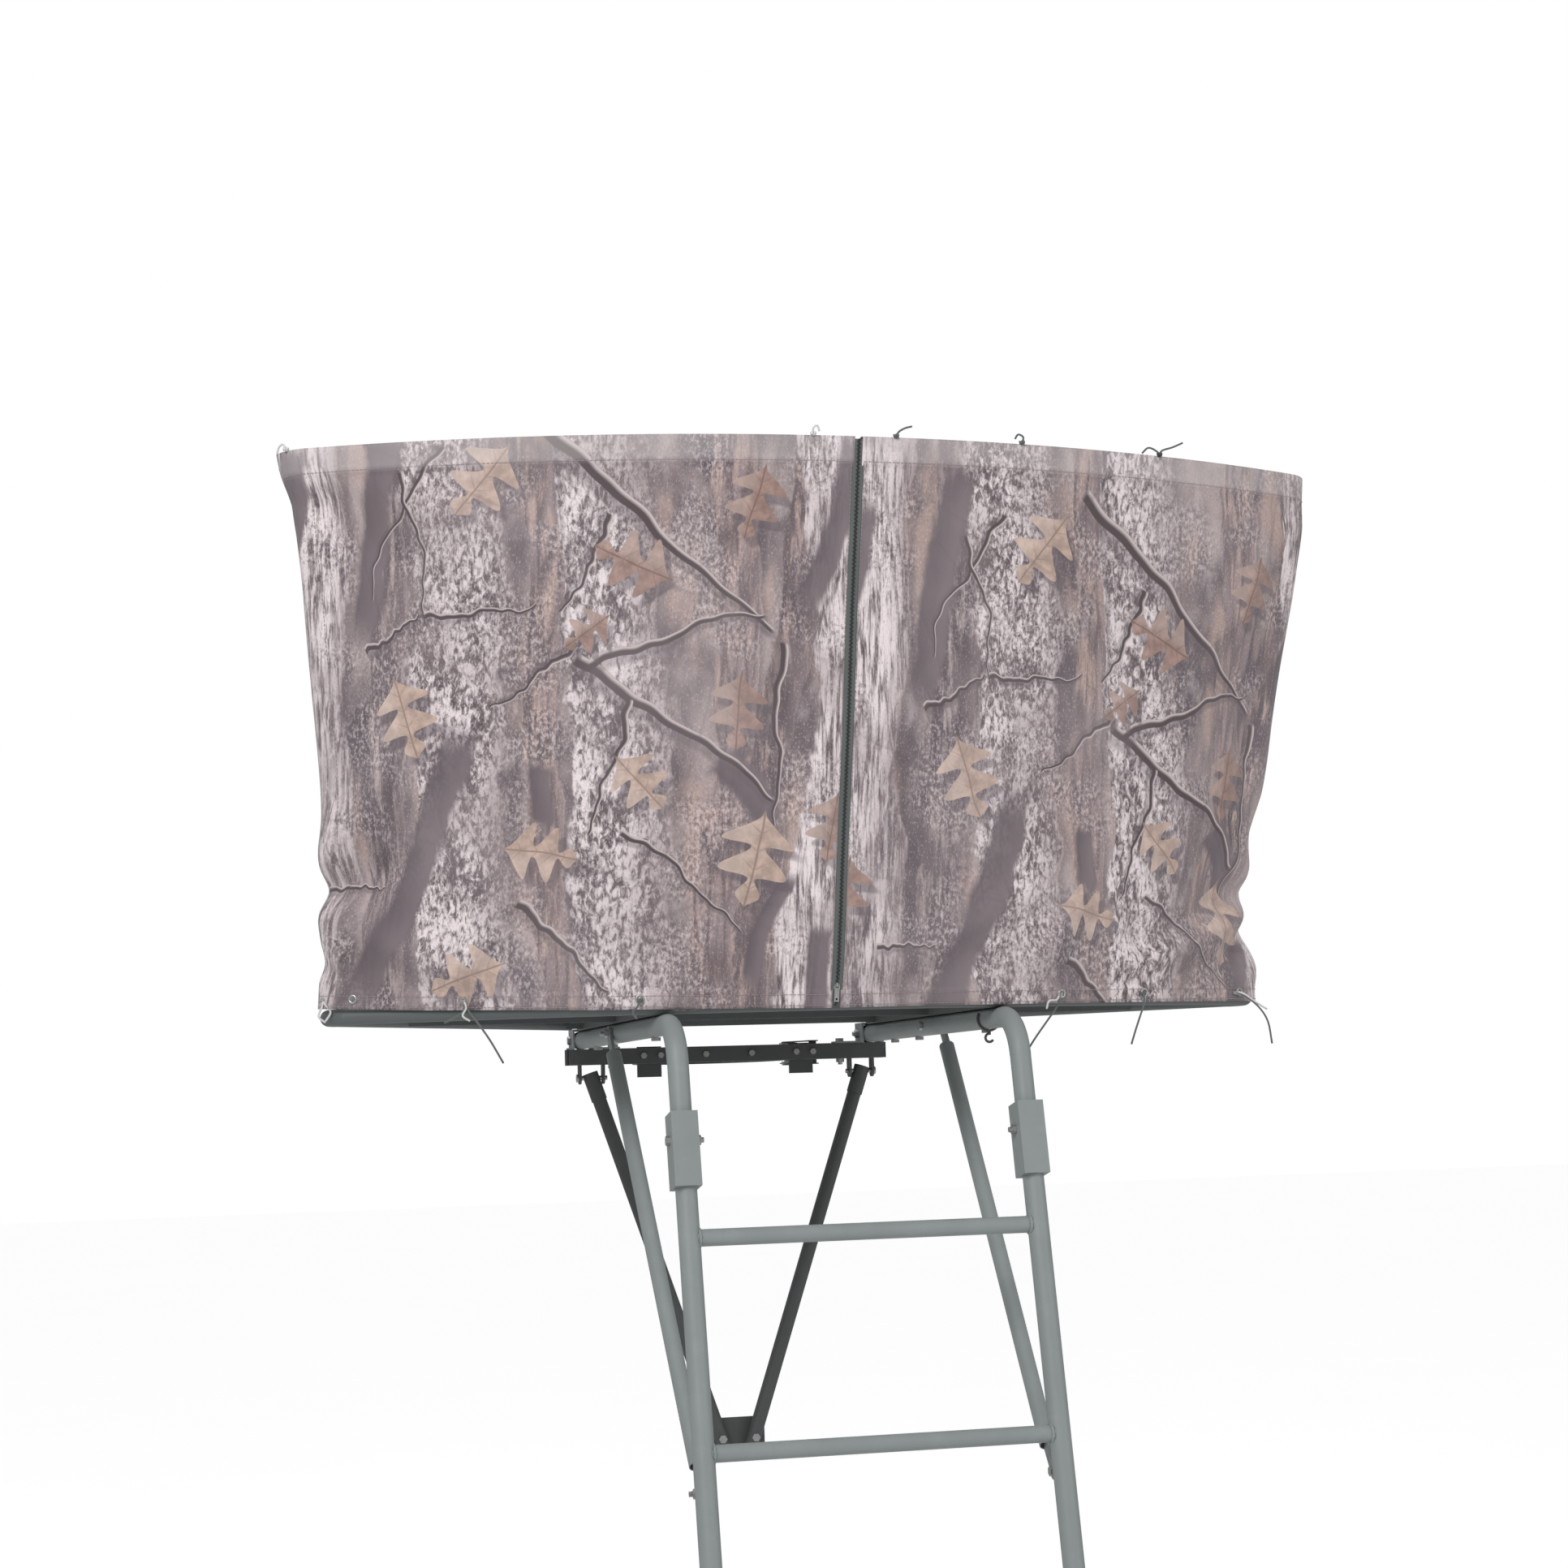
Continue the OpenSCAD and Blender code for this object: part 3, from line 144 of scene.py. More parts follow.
def new_object(name, data):
    """New object in the scene."""
    obj = bpy.data.objects.new(name, data)
    bpy.context.scene.collection.objects.link(obj)
    return obj


def outward(obj):
    """Turns the faces of a closed piece outwards."""
    bm = bmesh.new()
    bm.from_mesh(obj.data)
    bmesh.ops.recalc_face_normals(bm, faces=bm.faces)
    bm.to_mesh(obj.data)
    bm.free()


def smooth_by_angle(obj, degrees=30):
    """Smooth shading that keeps edges sharper than the angle."""
    obj.data.shade_smooth()
    obj.data.set_sharp_from_angle(angle=math.radians(degrees))


def curve_points(ctrl, count=24):
    """Smooth curve through control points, as a Catmull-Rom spline."""
    p = [Vector(c) for c in ctrl]
    p = [2 * p[0] - p[1]] + p + [2 * p[-1] - p[-2]]
    out = []
    spans = len(p) - 3
    for i in range(spans):
        steps = max(2, count // spans)
        for j in range(steps + (i == spans - 1)):
            t = j / steps
            a, b, c, d = p[i : i + 4]
            square = (2 * a - 5 * b + 4 * c - d) * t * t
            cube = (3 * b - 3 * c + d - a) * t**3
            out.append(0.5 * (2 * b + (c - a) * t + square + cube))
    return out


# ---------- Node materials ----------


def plug(socket, x):
    """Feeds a shader value, a colour or a number into a node's input."""
    if isinstance(x, Val):
        Val.tree.links.new(x.s, socket)
    elif isinstance(x, tuple):
        socket.default_value = (*x, 1.0)
    else:
        socket.default_value = x


def new_node(kind, inputs=(), **settings):
    """New node in the current tree; inputs pairs a socket's name or number with what feeds it."""
    made = Val.tree.nodes.new("ShaderNode" + kind)
    for key, x in settings.items():
        setattr(made, key, x)
    for key, x in inputs:
        plug(made.inputs[key], x)
    return made


def operator(op, swap=False):
    """Method of Val that adds a Math node."""

    def method(*args):
        args = args[::-1] if swap else args
        return Val(new_node("Math", enumerate(args), operation=op).outputs[0])

    return method


class Val:
    """A shader value that builds Math nodes as it is used in a formula."""

    tree = None
    __add__ = __radd__ = operator("ADD")
    __mul__ = __rmul__ = operator("MULTIPLY")
    __sub__ = operator("SUBTRACT")
    __rsub__ = operator("SUBTRACT", swap=True)
    __truediv__ = operator("DIVIDE")
    abs = operator("ABSOLUTE")
    sin = operator("SINE")
    min = operator("MINIMUM")
    max = operator("MAXIMUM")
    wrap = operator("WRAP")

    def __init__(self, socket):
        self.s = socket


def step(x, low, high):
    """Smooth step from 0 at low to 1 at high."""
    flip = low > high
    inputs = [("Value", x), ("From Min", min(low, high)), ("From Max", max(low, high))]
    inputs += [("To Min", float(flip)), ("To Max", float(not flip))]
    return Val(new_node("MapRange", inputs, interpolation_type="SMOOTHSTEP").outputs["Result"])


def group(name, inputs, build):
    """Node group used as a function; a name that ends in _c is a colour, the others are numbers."""
    outer = Val.tree
    tree = bpy.data.node_groups.new(name, "ShaderNodeTree")
    for i in inputs:
        kind = "NodeSocketColor" if i.endswith("_c") else "NodeSocketFloat"
        tree.interface.new_socket(i, in_out="INPUT", socket_type=kind)
    tree.interface.new_socket("out", in_out="OUTPUT", socket_type="NodeSocketColor")
    Val.tree = tree
    start = tree.nodes.new("NodeGroupInput")
    end = tree.nodes.new("NodeGroupOutput")
    made = build(*[Val(o) for o in start.outputs[: len(inputs)]])
    tree.links.new(made.s, end.inputs[0])
    Val.tree = outer
    return lambda *args: Val(new_node("Group", enumerate(args), node_tree=tree).outputs[0])


def vec(x, y):
    """Vector from two numbers."""
    return Val(new_node("CombineXYZ", enumerate((x, y, 0.0))).outputs[0])


def parts(v):
    """The three numbers of a vector."""
    return [Val(o) for o in new_node("SeparateXYZ", [(0, v)]).outputs]


def noise(v, scale, detail=2.0, rough=0.5, distortion=0.0):
    """Noise between 0 and 1 at a vector."""
    inputs = [("Vector", v), ("Scale", scale), ("Detail", detail), ("Roughness", rough)]
    return Val(new_node("TexNoise", inputs + [("Distortion", distortion)]).outputs["Fac"])


def cracks(v, scale, width):
    """Thin cell borders of a Voronoi pattern: 1 on the border, 0 inside a cell."""
    made = new_node("TexVoronoi", [("Vector", v), ("Scale", scale)], feature="DISTANCE_TO_EDGE")
    return step(Val(made.outputs["Distance"]), width, 0.0)


def mix(fac, a, b):
    """Colour a where fac is 0, b where it is 1."""
    return Val(new_node("Mix", [(0, fac), (6, a), (7, b)], data_type="RGBA").outputs[2])


def tint(colour, factor, lift=0.0):
    """Lighter or darker colour."""
    return tuple(min(1, c * factor + lift) for c in colour)


def coords():
    """Position in the object's own space."""
    return Val(new_node("TexCoord").outputs["Object"])


SHADER_INPUTS = {
    "colour": "Base Color",
    "roughness": "Roughness",
    "metallic": "Metallic",
    "sheen": "Sheen Weight",
    "specular": "Specular IOR Level",
    "glow": "Emission Strength",
}


def material(name, build):
    """New material; build() returns the inputs it sets, and may add a height with its bump and depth."""
    m = bpy.data.materials.new(name)
    m.use_nodes = True
    Val.tree = m.node_tree
    shader = next(n for n in Val.tree.nodes if n.type == "BSDF_PRINCIPLED")
    made = build()
    for key, socket in SHADER_INPUTS.items():
        if key in made:
            plug(shader.inputs[socket], made[key])
    if "glow" in made:
        shader.inputs["Emission Color"].default_value = (1, 1, 1, 1)
    if "height" in made:
        inputs = [("Strength", made["bump"]), ("Distance", made["depth"]), ("Height", made["height"])]
        plug(shader.inputs["Normal"], Val(new_node("Bump", inputs).outputs[0]))
    return m


def worn_edges():
    """1 on sharp edges, 0 on flat faces, broken up by noise."""
    bevel = Val(new_node("Bevel", [("Radius", 0.0015)], samples=3).outputs[0])
    normal = Val(new_node("NewGeometry").outputs["Normal"])
    dot = new_node("VectorMath", [(0, bevel), (1, normal)], operation="DOT_PRODUCT")
    edge = step(Val(dot.outputs["Value"]), 0.985, 0.90)
    return edge * step(noise(coords(), 55, 4, 0.6), 0.42, 0.62)


def painted(name, colour, bare=(0.42, 0.42, 0.42), gloss=0.42, mottle=0.10):
    """Powder-coated steel: fine orange peel, faint dust, bare metal on worn edges."""

    def build():
        p = coords()
        patch = noise(p, 9, 3, 0.6)
        dust = step(noise(p, 26, 5, 0.65), 0.5, 0.8)
        worn = worn_edges()
        base = mix(patch, tint(colour, 1 - mottle * 1.6), tint(colour, 1 + mottle))
        base = mix(dust * 0.25, base, tint(colour, 1.25, 0.02))
        base = mix(worn * 0.7, base, bare)
        peel = noise(p, 900, 2, 0.5)
        relief = dict(height=peel, bump=0.18, depth=0.0004)
        return dict(colour=base, roughness=gloss + noise(p, 40, 3) * 0.18, metallic=worn * 0.8, **relief)

    return material(name, build)


def plated(name, colour):
    """Zinc plating with a fine spangle and soft stains."""

    def build():
        p = coords()
        spangle = noise(p, 160, 2, 0.4)
        stain = step(noise(p, 30, 4, 0.6), 0.45, 0.75)
        base = mix(spangle, tint(colour, 0.72), colour)
        base = mix(stain * 0.35, base, tint(colour, 0.55))
        relief = dict(height=spangle, bump=0.1, depth=0.0003)
        return dict(colour=base, metallic=0.85, roughness=0.34 + stain * 0.2, **relief)

    return material(name, build)


def moulded(name, colour, grain=1200, rough=0.55):
    """Moulded plastic or foam rubber with a fine leather grain."""

    def build():
        p = coords()
        g = noise(p, grain, 3, 0.6)
        cloud = noise(p, 14, 3)
        base = mix(cloud, tint(colour, 0.8), tint(colour, 1.25))
        base = mix(step(g, 0.45, 0.8) * 0.3, base, tint(colour, 1.9, 0.01))
        return dict(colour=base, roughness=rough + g * 0.2, height=g, bump=0.35, depth=0.0006)

    return material(name, build)


def woven(name, colour, thread=0.0012, contrast=0.35, rough=0.9):
    """Plain weave from two crossed thread waves in the object's own space, fuzzed by noise."""

    def build():
        x, y, z = parts(coords())
        k = 2 * math.pi / thread
        warp = (x * k + y * k * 0.7).sin()
        weft = (z * k + y * k * 0.7).sin()
        weave = warp * weft * 0.5 + 0.5
        fuzz = noise(coords(), 420, 3, 0.7)
        fade = noise(coords(), 11, 3, 0.6)
        base = mix(weave * contrast, colour, tint(colour, 0.45))
        base = mix(fuzz * 0.35, base, tint(colour, 1.6, 0.02))
        base = mix(step(fade, 0.35, 0.75) * 0.3, base, tint(colour, 1.35, 0.015))
        relief = dict(height=weave + fuzz * 0.6, bump=0.4, depth=0.0005)
        return dict(colour=base, roughness=rough, sheen=0.25, **relief)

    return material(name, build)


# ---------- Camouflage cloth ----------

# Heights of the skirt's top edge and of its hem
SKIRT_TOP = 0.850
HEM_Z = 0.004
# The print repeats across the cloth
TILE = 0.84
BARK_DARK = (0.105, 0.078, 0.088)
BARK_MID = (0.300, 0.235, 0.245)
BARK_PALE = (0.860, 0.760, 0.775)
SHADE = (0.120, 0.096, 0.112)
LIMB_PALE = (0.200, 0.163, 0.178)
HAZE = (0.450, 0.365, 0.362)
TAN = (0.480, 0.350, 0.310)
LEAF_PALE = (0.660, 0.480, 0.400)
LEAF_RUST = (0.430, 0.275, 0.230)
TWIG_DARK = (0.085, 0.062, 0.068)
TWIG_PALE = (0.620, 0.530, 0.530)


def paint_trunk(base, x, z, px, pz, cloud, rough, centre, half, lean, grain_x, grain_z, level, dark, light):
    """Paints one upright trunk with bark, darker towards its right edge."""
    wobble = (z * 7.3 + centre * 90).sin() * 0.011 + (z * 19.0 + centre * 50).sin() * 0.004
    u = (x - centre - lean * z + wobble).wrap(TILE / 2, -TILE / 2) / half + (rough - 0.5) * 0.9
    mask = step(u.abs(), 1.0, 0.86)
    streak = noise(vec(px * grain_x, pz * grain_z), 1, 6, 0.72, 0.6) + level + (rough - 0.5) * 0.5
    plates = cracks(vec(px * grain_x * 0.55, pz * grain_z * 0.5), 1.0, 0.22)
    colour = mix(step(streak, 0.42, 0.62), dark, light)
    colour = mix(plates * step(streak, 0.70, 0.50) * 0.75, colour, BARK_DARK)
    colour = mix(step(u, 0.25, 1.0) * 0.55, colour, BARK_MID)
    colour = mix(cloud, colour, BARK_MID)
    cast = step(u, 1.45, 1.0) * step(u, 0.95, 1.05)
    return mix(mask, mix(cast * 0.55, base, SHADE), colour)


def paint_limb(base, x, z, rough, ax, az, ux, uz, length, width):
    """Paints a smooth dark limb that fades out at both ends."""
    px = (x - ax).wrap(TILE / 2, -TILE / 2)
    pz = z - az
    t = (px * ux + pz * uz) / length
    bend = (t * 4.1 + ax * 30).sin() * 0.009
    q = (pz * ux - px * uz + bend) / width + (rough - 0.5) * 0.9
    mask = step(q.abs(), 1.0, 0.55) * step(t, -0.04, 0.10) * step(t, 1.04, 0.82)
    return mix(mask * step(q, -0.9, 1.0), mix(mask * 0.92, base, SHADE), LIMB_PALE)


def paint_twig(base, x, z, ax, az, ux, uz, length, width, curl):
    """Paints a tapering branch from a along u: pale above, dark below, with a soft shadow."""
    px = (x - ax).wrap(TILE / 2, -TILE / 2)
    pz = z - az
    t = (px * ux + pz * uz) / length
    bend = (t * 3.3 + ax * 40).sin() * curl + (t * 11.0 + az * 30).sin() * curl * 0.3
    knots = (t * 27.0 + az * 50).sin() * 0.0016 + (t * 47.0 + ax * 50).sin() * 0.0008
    q = (pz * ux - px * uz + bend + knots) / ((1.0 - t * 0.65) * width)
    inside = step(t, -0.01, 0.01) * step(t, 1.0, 0.97)
    shadow = step((q + 1.6).abs(), 1.6, 0.4) * inside
    base = mix(shadow * 0.45, base, SHADE)
    body = step(q.abs(), 1.0, 0.75) * inside
    return mix(body * step(q, 0.0, 0.75), mix(body, base, TWIG_DARK), TWIG_PALE)


def leaf_outline(p, q):
    """Positive inside a lobed oak leaf that runs from 0 to 1 along p."""
    belly = (p * math.pi).max(0).min(math.pi).sin()
    lobes = (p * 19.0 - 0.8 + q.abs() * 6.0).sin()
    return belly * (lobes * 0.17 + 0.20 + p * 0.08) - q.abs()


def paint_leaf(base, x, z, cloud, at_x, at_z, ca, sa, dark, light, line):
    """Paints a lobed oak leaf with a midrib, veins and a soft shadow; ca and sa hold turn and size."""

    def local(dx, dz):
        px = (x - at_x - dx).wrap(TILE / 2, -TILE / 2)
        pz = z - at_z - dz
        return px * ca + pz * sa + 0.5, pz * ca - px * sa

    base = mix(step(leaf_outline(*local(0.010, -0.014)), -0.05, 0.06) * 0.6, base, SHADE)
    p, q = local(0, 0)
    mask = step(leaf_outline(p, q), -0.006, 0.012)
    veins = step((p * 17.0 - q.abs() * 13.0).sin().abs(), 0.25, 0.02) * step(q.abs(), 0.22, 0.02)
    midrib = step(q.abs(), 0.016, 0.004)
    tone = mix(cloud, dark, light)
    tone = mix(step(q, 0.0, 0.12) * 0.18, tone, (0.9, 0.8, 0.75))
    tone = mix((veins * 0.5).max(midrib * 0.85), tone, line)
    return mix(mask * 0.9, base, tone)


def heading(dx, dz):
    """Unit direction and length of a step."""
    length = math.hypot(dx, dz)
    return dx / length, dz / length, length


def paint_cloth(cx, cz, shift_x, shift_z):
    """The whole print, from cloth coordinates in metres."""
    sx, sz = cx + shift_x, cz + shift_z
    p = vec(sx, sz)
    warp = (noise(p, 6, 2) - 0.5) * 0.022
    x, z = sx + warp, sz + warp * 0.6
    base = mix(step(noise(vec(sx, sz * 0.55), 7.5, 4, 0.6), 0.36, 0.64), SHADE, HAZE)
    base = mix(step(noise(vec(sx * 1.4, sz * 0.5), 11, 3, 0.5), 0.50, 0.66) * 0.8, base, TAN)
    blur = noise(vec(sx, sz * 0.4), 16, 5, 0.62)
    base = mix(step(blur, 0.52, 0.72) * 0.7, base, (0.600, 0.520, 0.525))
    names = ["base_c", "x", "z", "px", "pz", "cloud", "rough", "centre", "half", "lean", "grain_x", "grain_z"]
    trunk = group("trunk", names + ["level", "dark_c", "light_c"], paint_trunk)
    rough = noise(vec(sx, sz * 0.42), 30, 3, 0.55)
    cloud = step(noise(p, 5.5, 2), 0.42, 0.66) * 0.45
    for spec in TRUNKS:
        base = trunk(base, x, z, sx, sz, cloud, rough, *spec)
    speckle = noise(vec(sx, sz * 0.6), 190, 4, 0.7)
    grey = step(noise(p, 8, 2), 0.46, 0.62)
    base = mix(step(speckle, 0.48, 0.62) * grey * 0.45, base, BARK_PALE)
    base = mix(step(speckle, 0.50, 0.38) * grey * 0.60, base, BARK_DARK)
    grit = noise(vec(sx, sz * 0.5), 420, 2, 0.6)
    base = mix(step(grit, 0.55, 0.72) * 0.30, base, BARK_PALE)
    base = mix(step(grit, 0.44, 0.30) * 0.35, base, BARK_DARK)
    names = ["base_c", "x", "z", "rough", "ax", "az", "ux", "uz", "length", "width"]
    limb = group("limb", names, paint_limb)
    for ax, az, bx, bz, width in LIMBS:
        base = limb(base, x, z, rough, ax, az, *heading(bx - ax, bz - az), width)
    twig = group("twig", ["base_c", "x", "z", "ax", "az", "ux", "uz", "length", "width", "curl"], paint_twig)
    for ax, az, bx, bz, width, curl in TWIGS:
        base = twig(base, x, z, ax, az, *heading(bx - ax, bz - az), width, curl)
    names = ["base_c", "x", "z", "cloud", "ax", "az", "ca", "sa", "dark_c", "light_c", "line_c"]
    leaf = group("leaf", names, paint_leaf)
    grain = step(noise(p, 45, 3, 0.6), 0.35, 0.70)
    for centre, size, turn, tone in LEAVES:
        ca, sa = math.cos(turn) / size, math.sin(turn) / size
        shades = [tint(tone, f) for f in (0.66, 1.0, 0.42)]
        base = leaf(base, x, z, grain, *centre, ca, sa, *shades)
    fade = noise(p, 3.2, 3)
    return mix(step(fade, 0.40, 0.75) * 0.16, base, (0.64, 0.56, 0.58))


def camo(name, shift_x, shift_z):
    """Printed woodland cloth; the shifts move the print on the panel."""

    def build():
        raw = Val(new_node("Attribute", attribute_name="cloth").outputs["Vector"])
        cx, cz, _ = parts(raw)
        base = cloth_print(cx, cz, shift_x, shift_z)
        # Painted highlight: the top hem band is lightened where it catches the light
        lit_top_band = step(cz, SKIRT_TOP - HEM_Z - 0.044, SKIRT_TOP - HEM_Z - 0.030)
        base = mix(lit_top_band * 0.20, base, (0.88, 0.82, 0.82))
        k = 2 * math.pi / 0.0011
        weave = (cx * k).sin() * (cz * k).sin() * 0.5 + 0.5
        base = mix(weave * 0.04, base, (0.9, 0.86, 0.86))
        puckers = noise(raw, 60, 3, 0.6)
        relief = dict(height=weave * 0.15 + puckers, bump=0.30, depth=0.0022)
        return dict(colour=base, roughness=0.82, sheen=0.12, specular=0.25, **relief)

    return material(name, build)


# Trunks: centre, half width, lean, grain across and along, level of pale bark, dark and light colour
TRUNKS = [
    (0.580, 0.078, -0.05, 130, 62, 0.05, BARK_DARK, BARK_PALE),
    (0.480, 0.028, -0.05, 95, 12, 0.00, BARK_MID, TAN),
    (0.715, 0.036, 0.04, 95, 12, 0.00, BARK_MID, TAN),
    (0.205, 0.036, 0.02, 80, 11, -0.02, SHADE, HAZE),
    (0.765, 0.030, 0.10, 80, 12, -0.02, SHADE, TAN),
    (0.350, 0.074, -0.05, 150, 74, 0.04, BARK_DARK, BARK_PALE),
    (0.095, 0.050, -0.05, 150, 17, 0.05, BARK_DARK, BARK_PALE),
    (0.850, 0.047, 0.12, 170, 15, 0.08, BARK_DARK, BARK_PALE),
]


def metres(rows):
    """Rows of numbers from millimetres to metres."""
    return (np.array(rows) * 0.001).tolist()


# Dark limbs in mm: start, end, half width
LIMBS = metres([
    (240, 900, 150, 540, 30),
    (330, 420, 165, -20, 34),
    (925, 850, 840, 580, 24),
    (715, 370, 800, 270, 30),
    (460, 360, 440, 270, 20),
    (820, 200, 760, 20, 18),
    (885, 120, 845, -30, 22),
])
# Branches in mm: start, end, half width, curl
TWIGS = metres([
    (435, 865, 810, 560, 12, 12),
    (510, 530, 800, 300, 11, 10),
    (520, 525, 790, 575, 8.5, 14),
    (510, 530, 370, 455, 5.5, 10),
    (575, 460, 530, 255, 6, 12),
    (822, 540, 790, 265, 7, 10),
    (555, 735, 482, 585, 6.5, 8),
    (290, 840, 190, 610, 5, 20),
    (235, 800, 280, 575, 4.5, 16),
    (170, 545, 270, 590, 6.5, 6),
    (280, 575, 440, 610, 5.5, 12),
    (415, 155, 560, 30, 8.5, 8),
    (570, 260, 760, 120, 5, 10),
    (100, 182, 190, 186, 5, 3),
])
# Leaves: centre, length, turn, colour
LEAVES = [
    ((0.367, 0.785), 0.135, 0.90, LEAF_PALE),
    ((0.767, 0.747), 0.115, 1.30, LEAF_RUST),
    ((0.590, 0.660), 0.130, -0.45, LEAF_RUST),
    ((0.520, 0.560), 0.085, 0.60, LEAF_RUST),
    ((0.246, 0.440), 0.135, 1.90, LEAF_PALE),
    ((0.745, 0.440), 0.125, 1.45, LEAF_RUST),
    ((0.600, 0.337), 0.110, 2.30, LEAF_PALE),
    ((0.452, 0.233), 0.115, 2.95, LEAF_PALE),
    ((0.771, 0.222), 0.150, 1.35, LEAF_PALE),
    ((0.345, 0.050), 0.120, 0.35, LEAF_PALE),
    ((0.050, 0.270), 0.110, 1.40, LEAF_RUST),
]
cloth_print = group("cloth_print", ["cx", "cz", "shift_x", "shift_z"], paint_cloth)

ladder_paint = painted("ladder_paint", (0.262, 0.292, 0.290))
frame_paint = painted("frame_paint", (0.110, 0.122, 0.122))
dark_paint = painted("dark_paint", (0.070, 0.075, 0.076), gloss=0.5)
zinc = plated("zinc", (0.50, 0.50, 0.49))
black_plastic = moulded("black_plastic", (0.022, 0.022, 0.023))
foam = moulded("foam", (0.030, 0.031, 0.030), grain=420, rough=0.8)
webbing = woven("webbing", (0.030, 0.031, 0.030), 0.0022, 0.6)
pad_cloth = woven("pad_cloth", (0.060, 0.068, 0.058), 0.0014, 0.4)
lining = woven("lining", (0.330, 0.310, 0.300), 0.0011, 0.3)
cord_dark = woven("cord_dark", (0.115, 0.130, 0.125), 0.0016, 0.6)
cord_pale = woven("cord_pale", (0.640, 0.620, 0.610), 0.0016, 0.4)
tape_cloth = woven("tape_cloth", (0.105, 0.118, 0.116), 0.0010, 0.4)
thread = woven("thread", (0.300, 0.260, 0.262), 0.0008, 0.3)
camo_left = camo("camo_left", 0.905, 0.0)
camo_right = camo("camo_right", 0.885, 0.095)

SLOT_MATERIAL = {
    "ladder_steel": ladder_paint,
    "frame_steel": frame_paint,
    "dark_steel": dark_paint,
    "zinc": zinc,
    "black_plastic": black_plastic,
    "nylon": black_plastic,
    "webbing": webbing,
    "cloth": camo_left,
    "cord": cord_dark,
    "pad": pad_cloth,
    "foam": foam,
    "zip_tape": tape_cloth,
}
for entry in frame["record"]["subparts"]:
    obj = nodes[entry["node"]]
    obj.data.materials.clear()
    obj.data.materials.append(SLOT_MATERIAL[entry["material_slot"]])
    smooth_by_angle(obj, 32)


# ---------- Skirt ----------

# Bowed tubes of the shooting rail and of the platform: radius, corner radius, half width, front
RAIL_BOW = (1.945, 0.050, 0.8155, -0.115)
DECK_BOW = (1.567, 0.045, 0.752, 0.025)
WRAP = math.radians(50)
TOP_OFF = 0.0178
LOW_OFF = 0.0164
ZIP_TOP, ZIP_LOW, ZIP_HALF = 0.020, -0.008, 0.006


def arc_half(bow):
    """Angle of half the bow's long arc."""
    r, rc, w, _ = bow
    return math.asin((w - rc) / (r - rc))


def reach(bow):
    """Length of half the bow, with the part of the corner that the skirt wraps."""
    return bow[0] * arc_half(bow) + bow[1] * WRAP


def bow_point(bow, off, s):
    """Points and outward normals at arc lengths s, off outside the tube's centreline."""
    r, rc, w, yf = bow
    phi = arc_half(bow)
    a = np.abs(s)
    on_arc = a <= r * phi
    turn = np.where(on_arc, a / r, phi + (a - r * phi) / rc)
    corner_y = yf + r - math.sqrt((r - rc) ** 2 - (w - rc) ** 2)
    x = np.where(on_arc, (r + off) * np.sin(turn), w - rc + (rc + off) * np.sin(turn))
    y = np.where(on_arc, yf + r - (r + off) * np.cos(turn), corner_y - (rc + off) * np.cos(turn))
    sign = np.where(s < 0, -1.0, 1.0)
    return x * sign, y, np.sin(turn) * sign, -np.cos(turn)


def smoothstep(x, low, high):
    """Smooth step from 0 at low to 1 at high, for arrays."""
    t = np.clip((x - low) / (high - low), 0, 1)
    return t * t * (3 - 2 * t)


# How far each side edge is drawn in, by share of the way down
PULL_K = [0, 0.03, 0.09, 0.14, 0.23, 0.41, 0.60, 0.70, 0.785, 0.86, 0.95, 1.0]
PULL_LEFT = [0, 0.003, 0.014, 0.018, 0.022, 0.027, 0.030, 0.031, 0.037, 0.024, 0.006, 0]
PULL_RIGHT = [0, -0.002, -0.003, -0.001, 0.001, 0.011, 0.023, 0.036, 0.052, 0.033, 0.007, 0]
# Height of the hem above its CAD level, by share of the half width
HEM_T = [-1, -0.78, -0.45, 0, 0.5, 1]
HEM_LIFT = [0.017, 0.008, 0.000, -0.006, -0.005, -0.003]
# Creases in mm: arc length and height of the start and of the end, half width, depth (below 0 a valley)
CREASES = metres([
    (845, 165, 400, 20, 30, 16),
    (850, 185, 520, 105, 22, -10),
    (850, 175, 600, 330, 30, 13),
    (845, 190, 700, 560, 26, -9),
    (850, 160, 660, 10, 18, -12),
    (840, 120, 780, 10, 15, 10),
    (290, 10, 420, 190, 24, 12),
    (300, 10, 170, 110, 20, -8),
    (60, 40, 300, 170, 26, 10),
    (545, 10, 500, 150, 22, -10),
    (845, 800, 620, 520, 45, 7),
    (60, 800, 330, 420, 50, -6),
    (-850, 185, -500, 20, 28, 14),
    (-850, 190, -600, 250, 24, -10),
    (-850, 180, -640, 470, 32, 12),
    (-845, 130, -720, 10, 18, -10),
    (-600, 10, -490, 210, 24, 10),
    (-330, 10, -220, 150, 24, -9),
    (-330, 10, -440, 120, 22, 9),
    (-860, 830, -640, 640, 30, -9),
    (-830, 840, -460, 700, 35, 7),
    (-200, 840, -90, 500, 50, -6),
    (-40, 640, -20, 150, 26, 6),
    (90, 700, 75, 200, 26, 6),
])


def creases(s, z):
    """How far the creases stand out from the cloth's even surface."""
    out = np.zeros_like(s)
    for s0, z0, s1, z1, width, depth in CREASES:
        ds, dz = s1 - s0, z1 - z0
        length = math.hypot(ds, dz)
        t = np.clip(((s - s0) * ds + (z - z0) * dz) / length**2, 0, 1)
        d = np.hypot(s - s0 - t * ds, z - z0 - t * dz)
        out += 1.25 * depth * np.exp(-((d / width) ** 2)) * np.sin(np.pi * np.clip(t, 0.06, 0.94)) ** 0.6
    return out


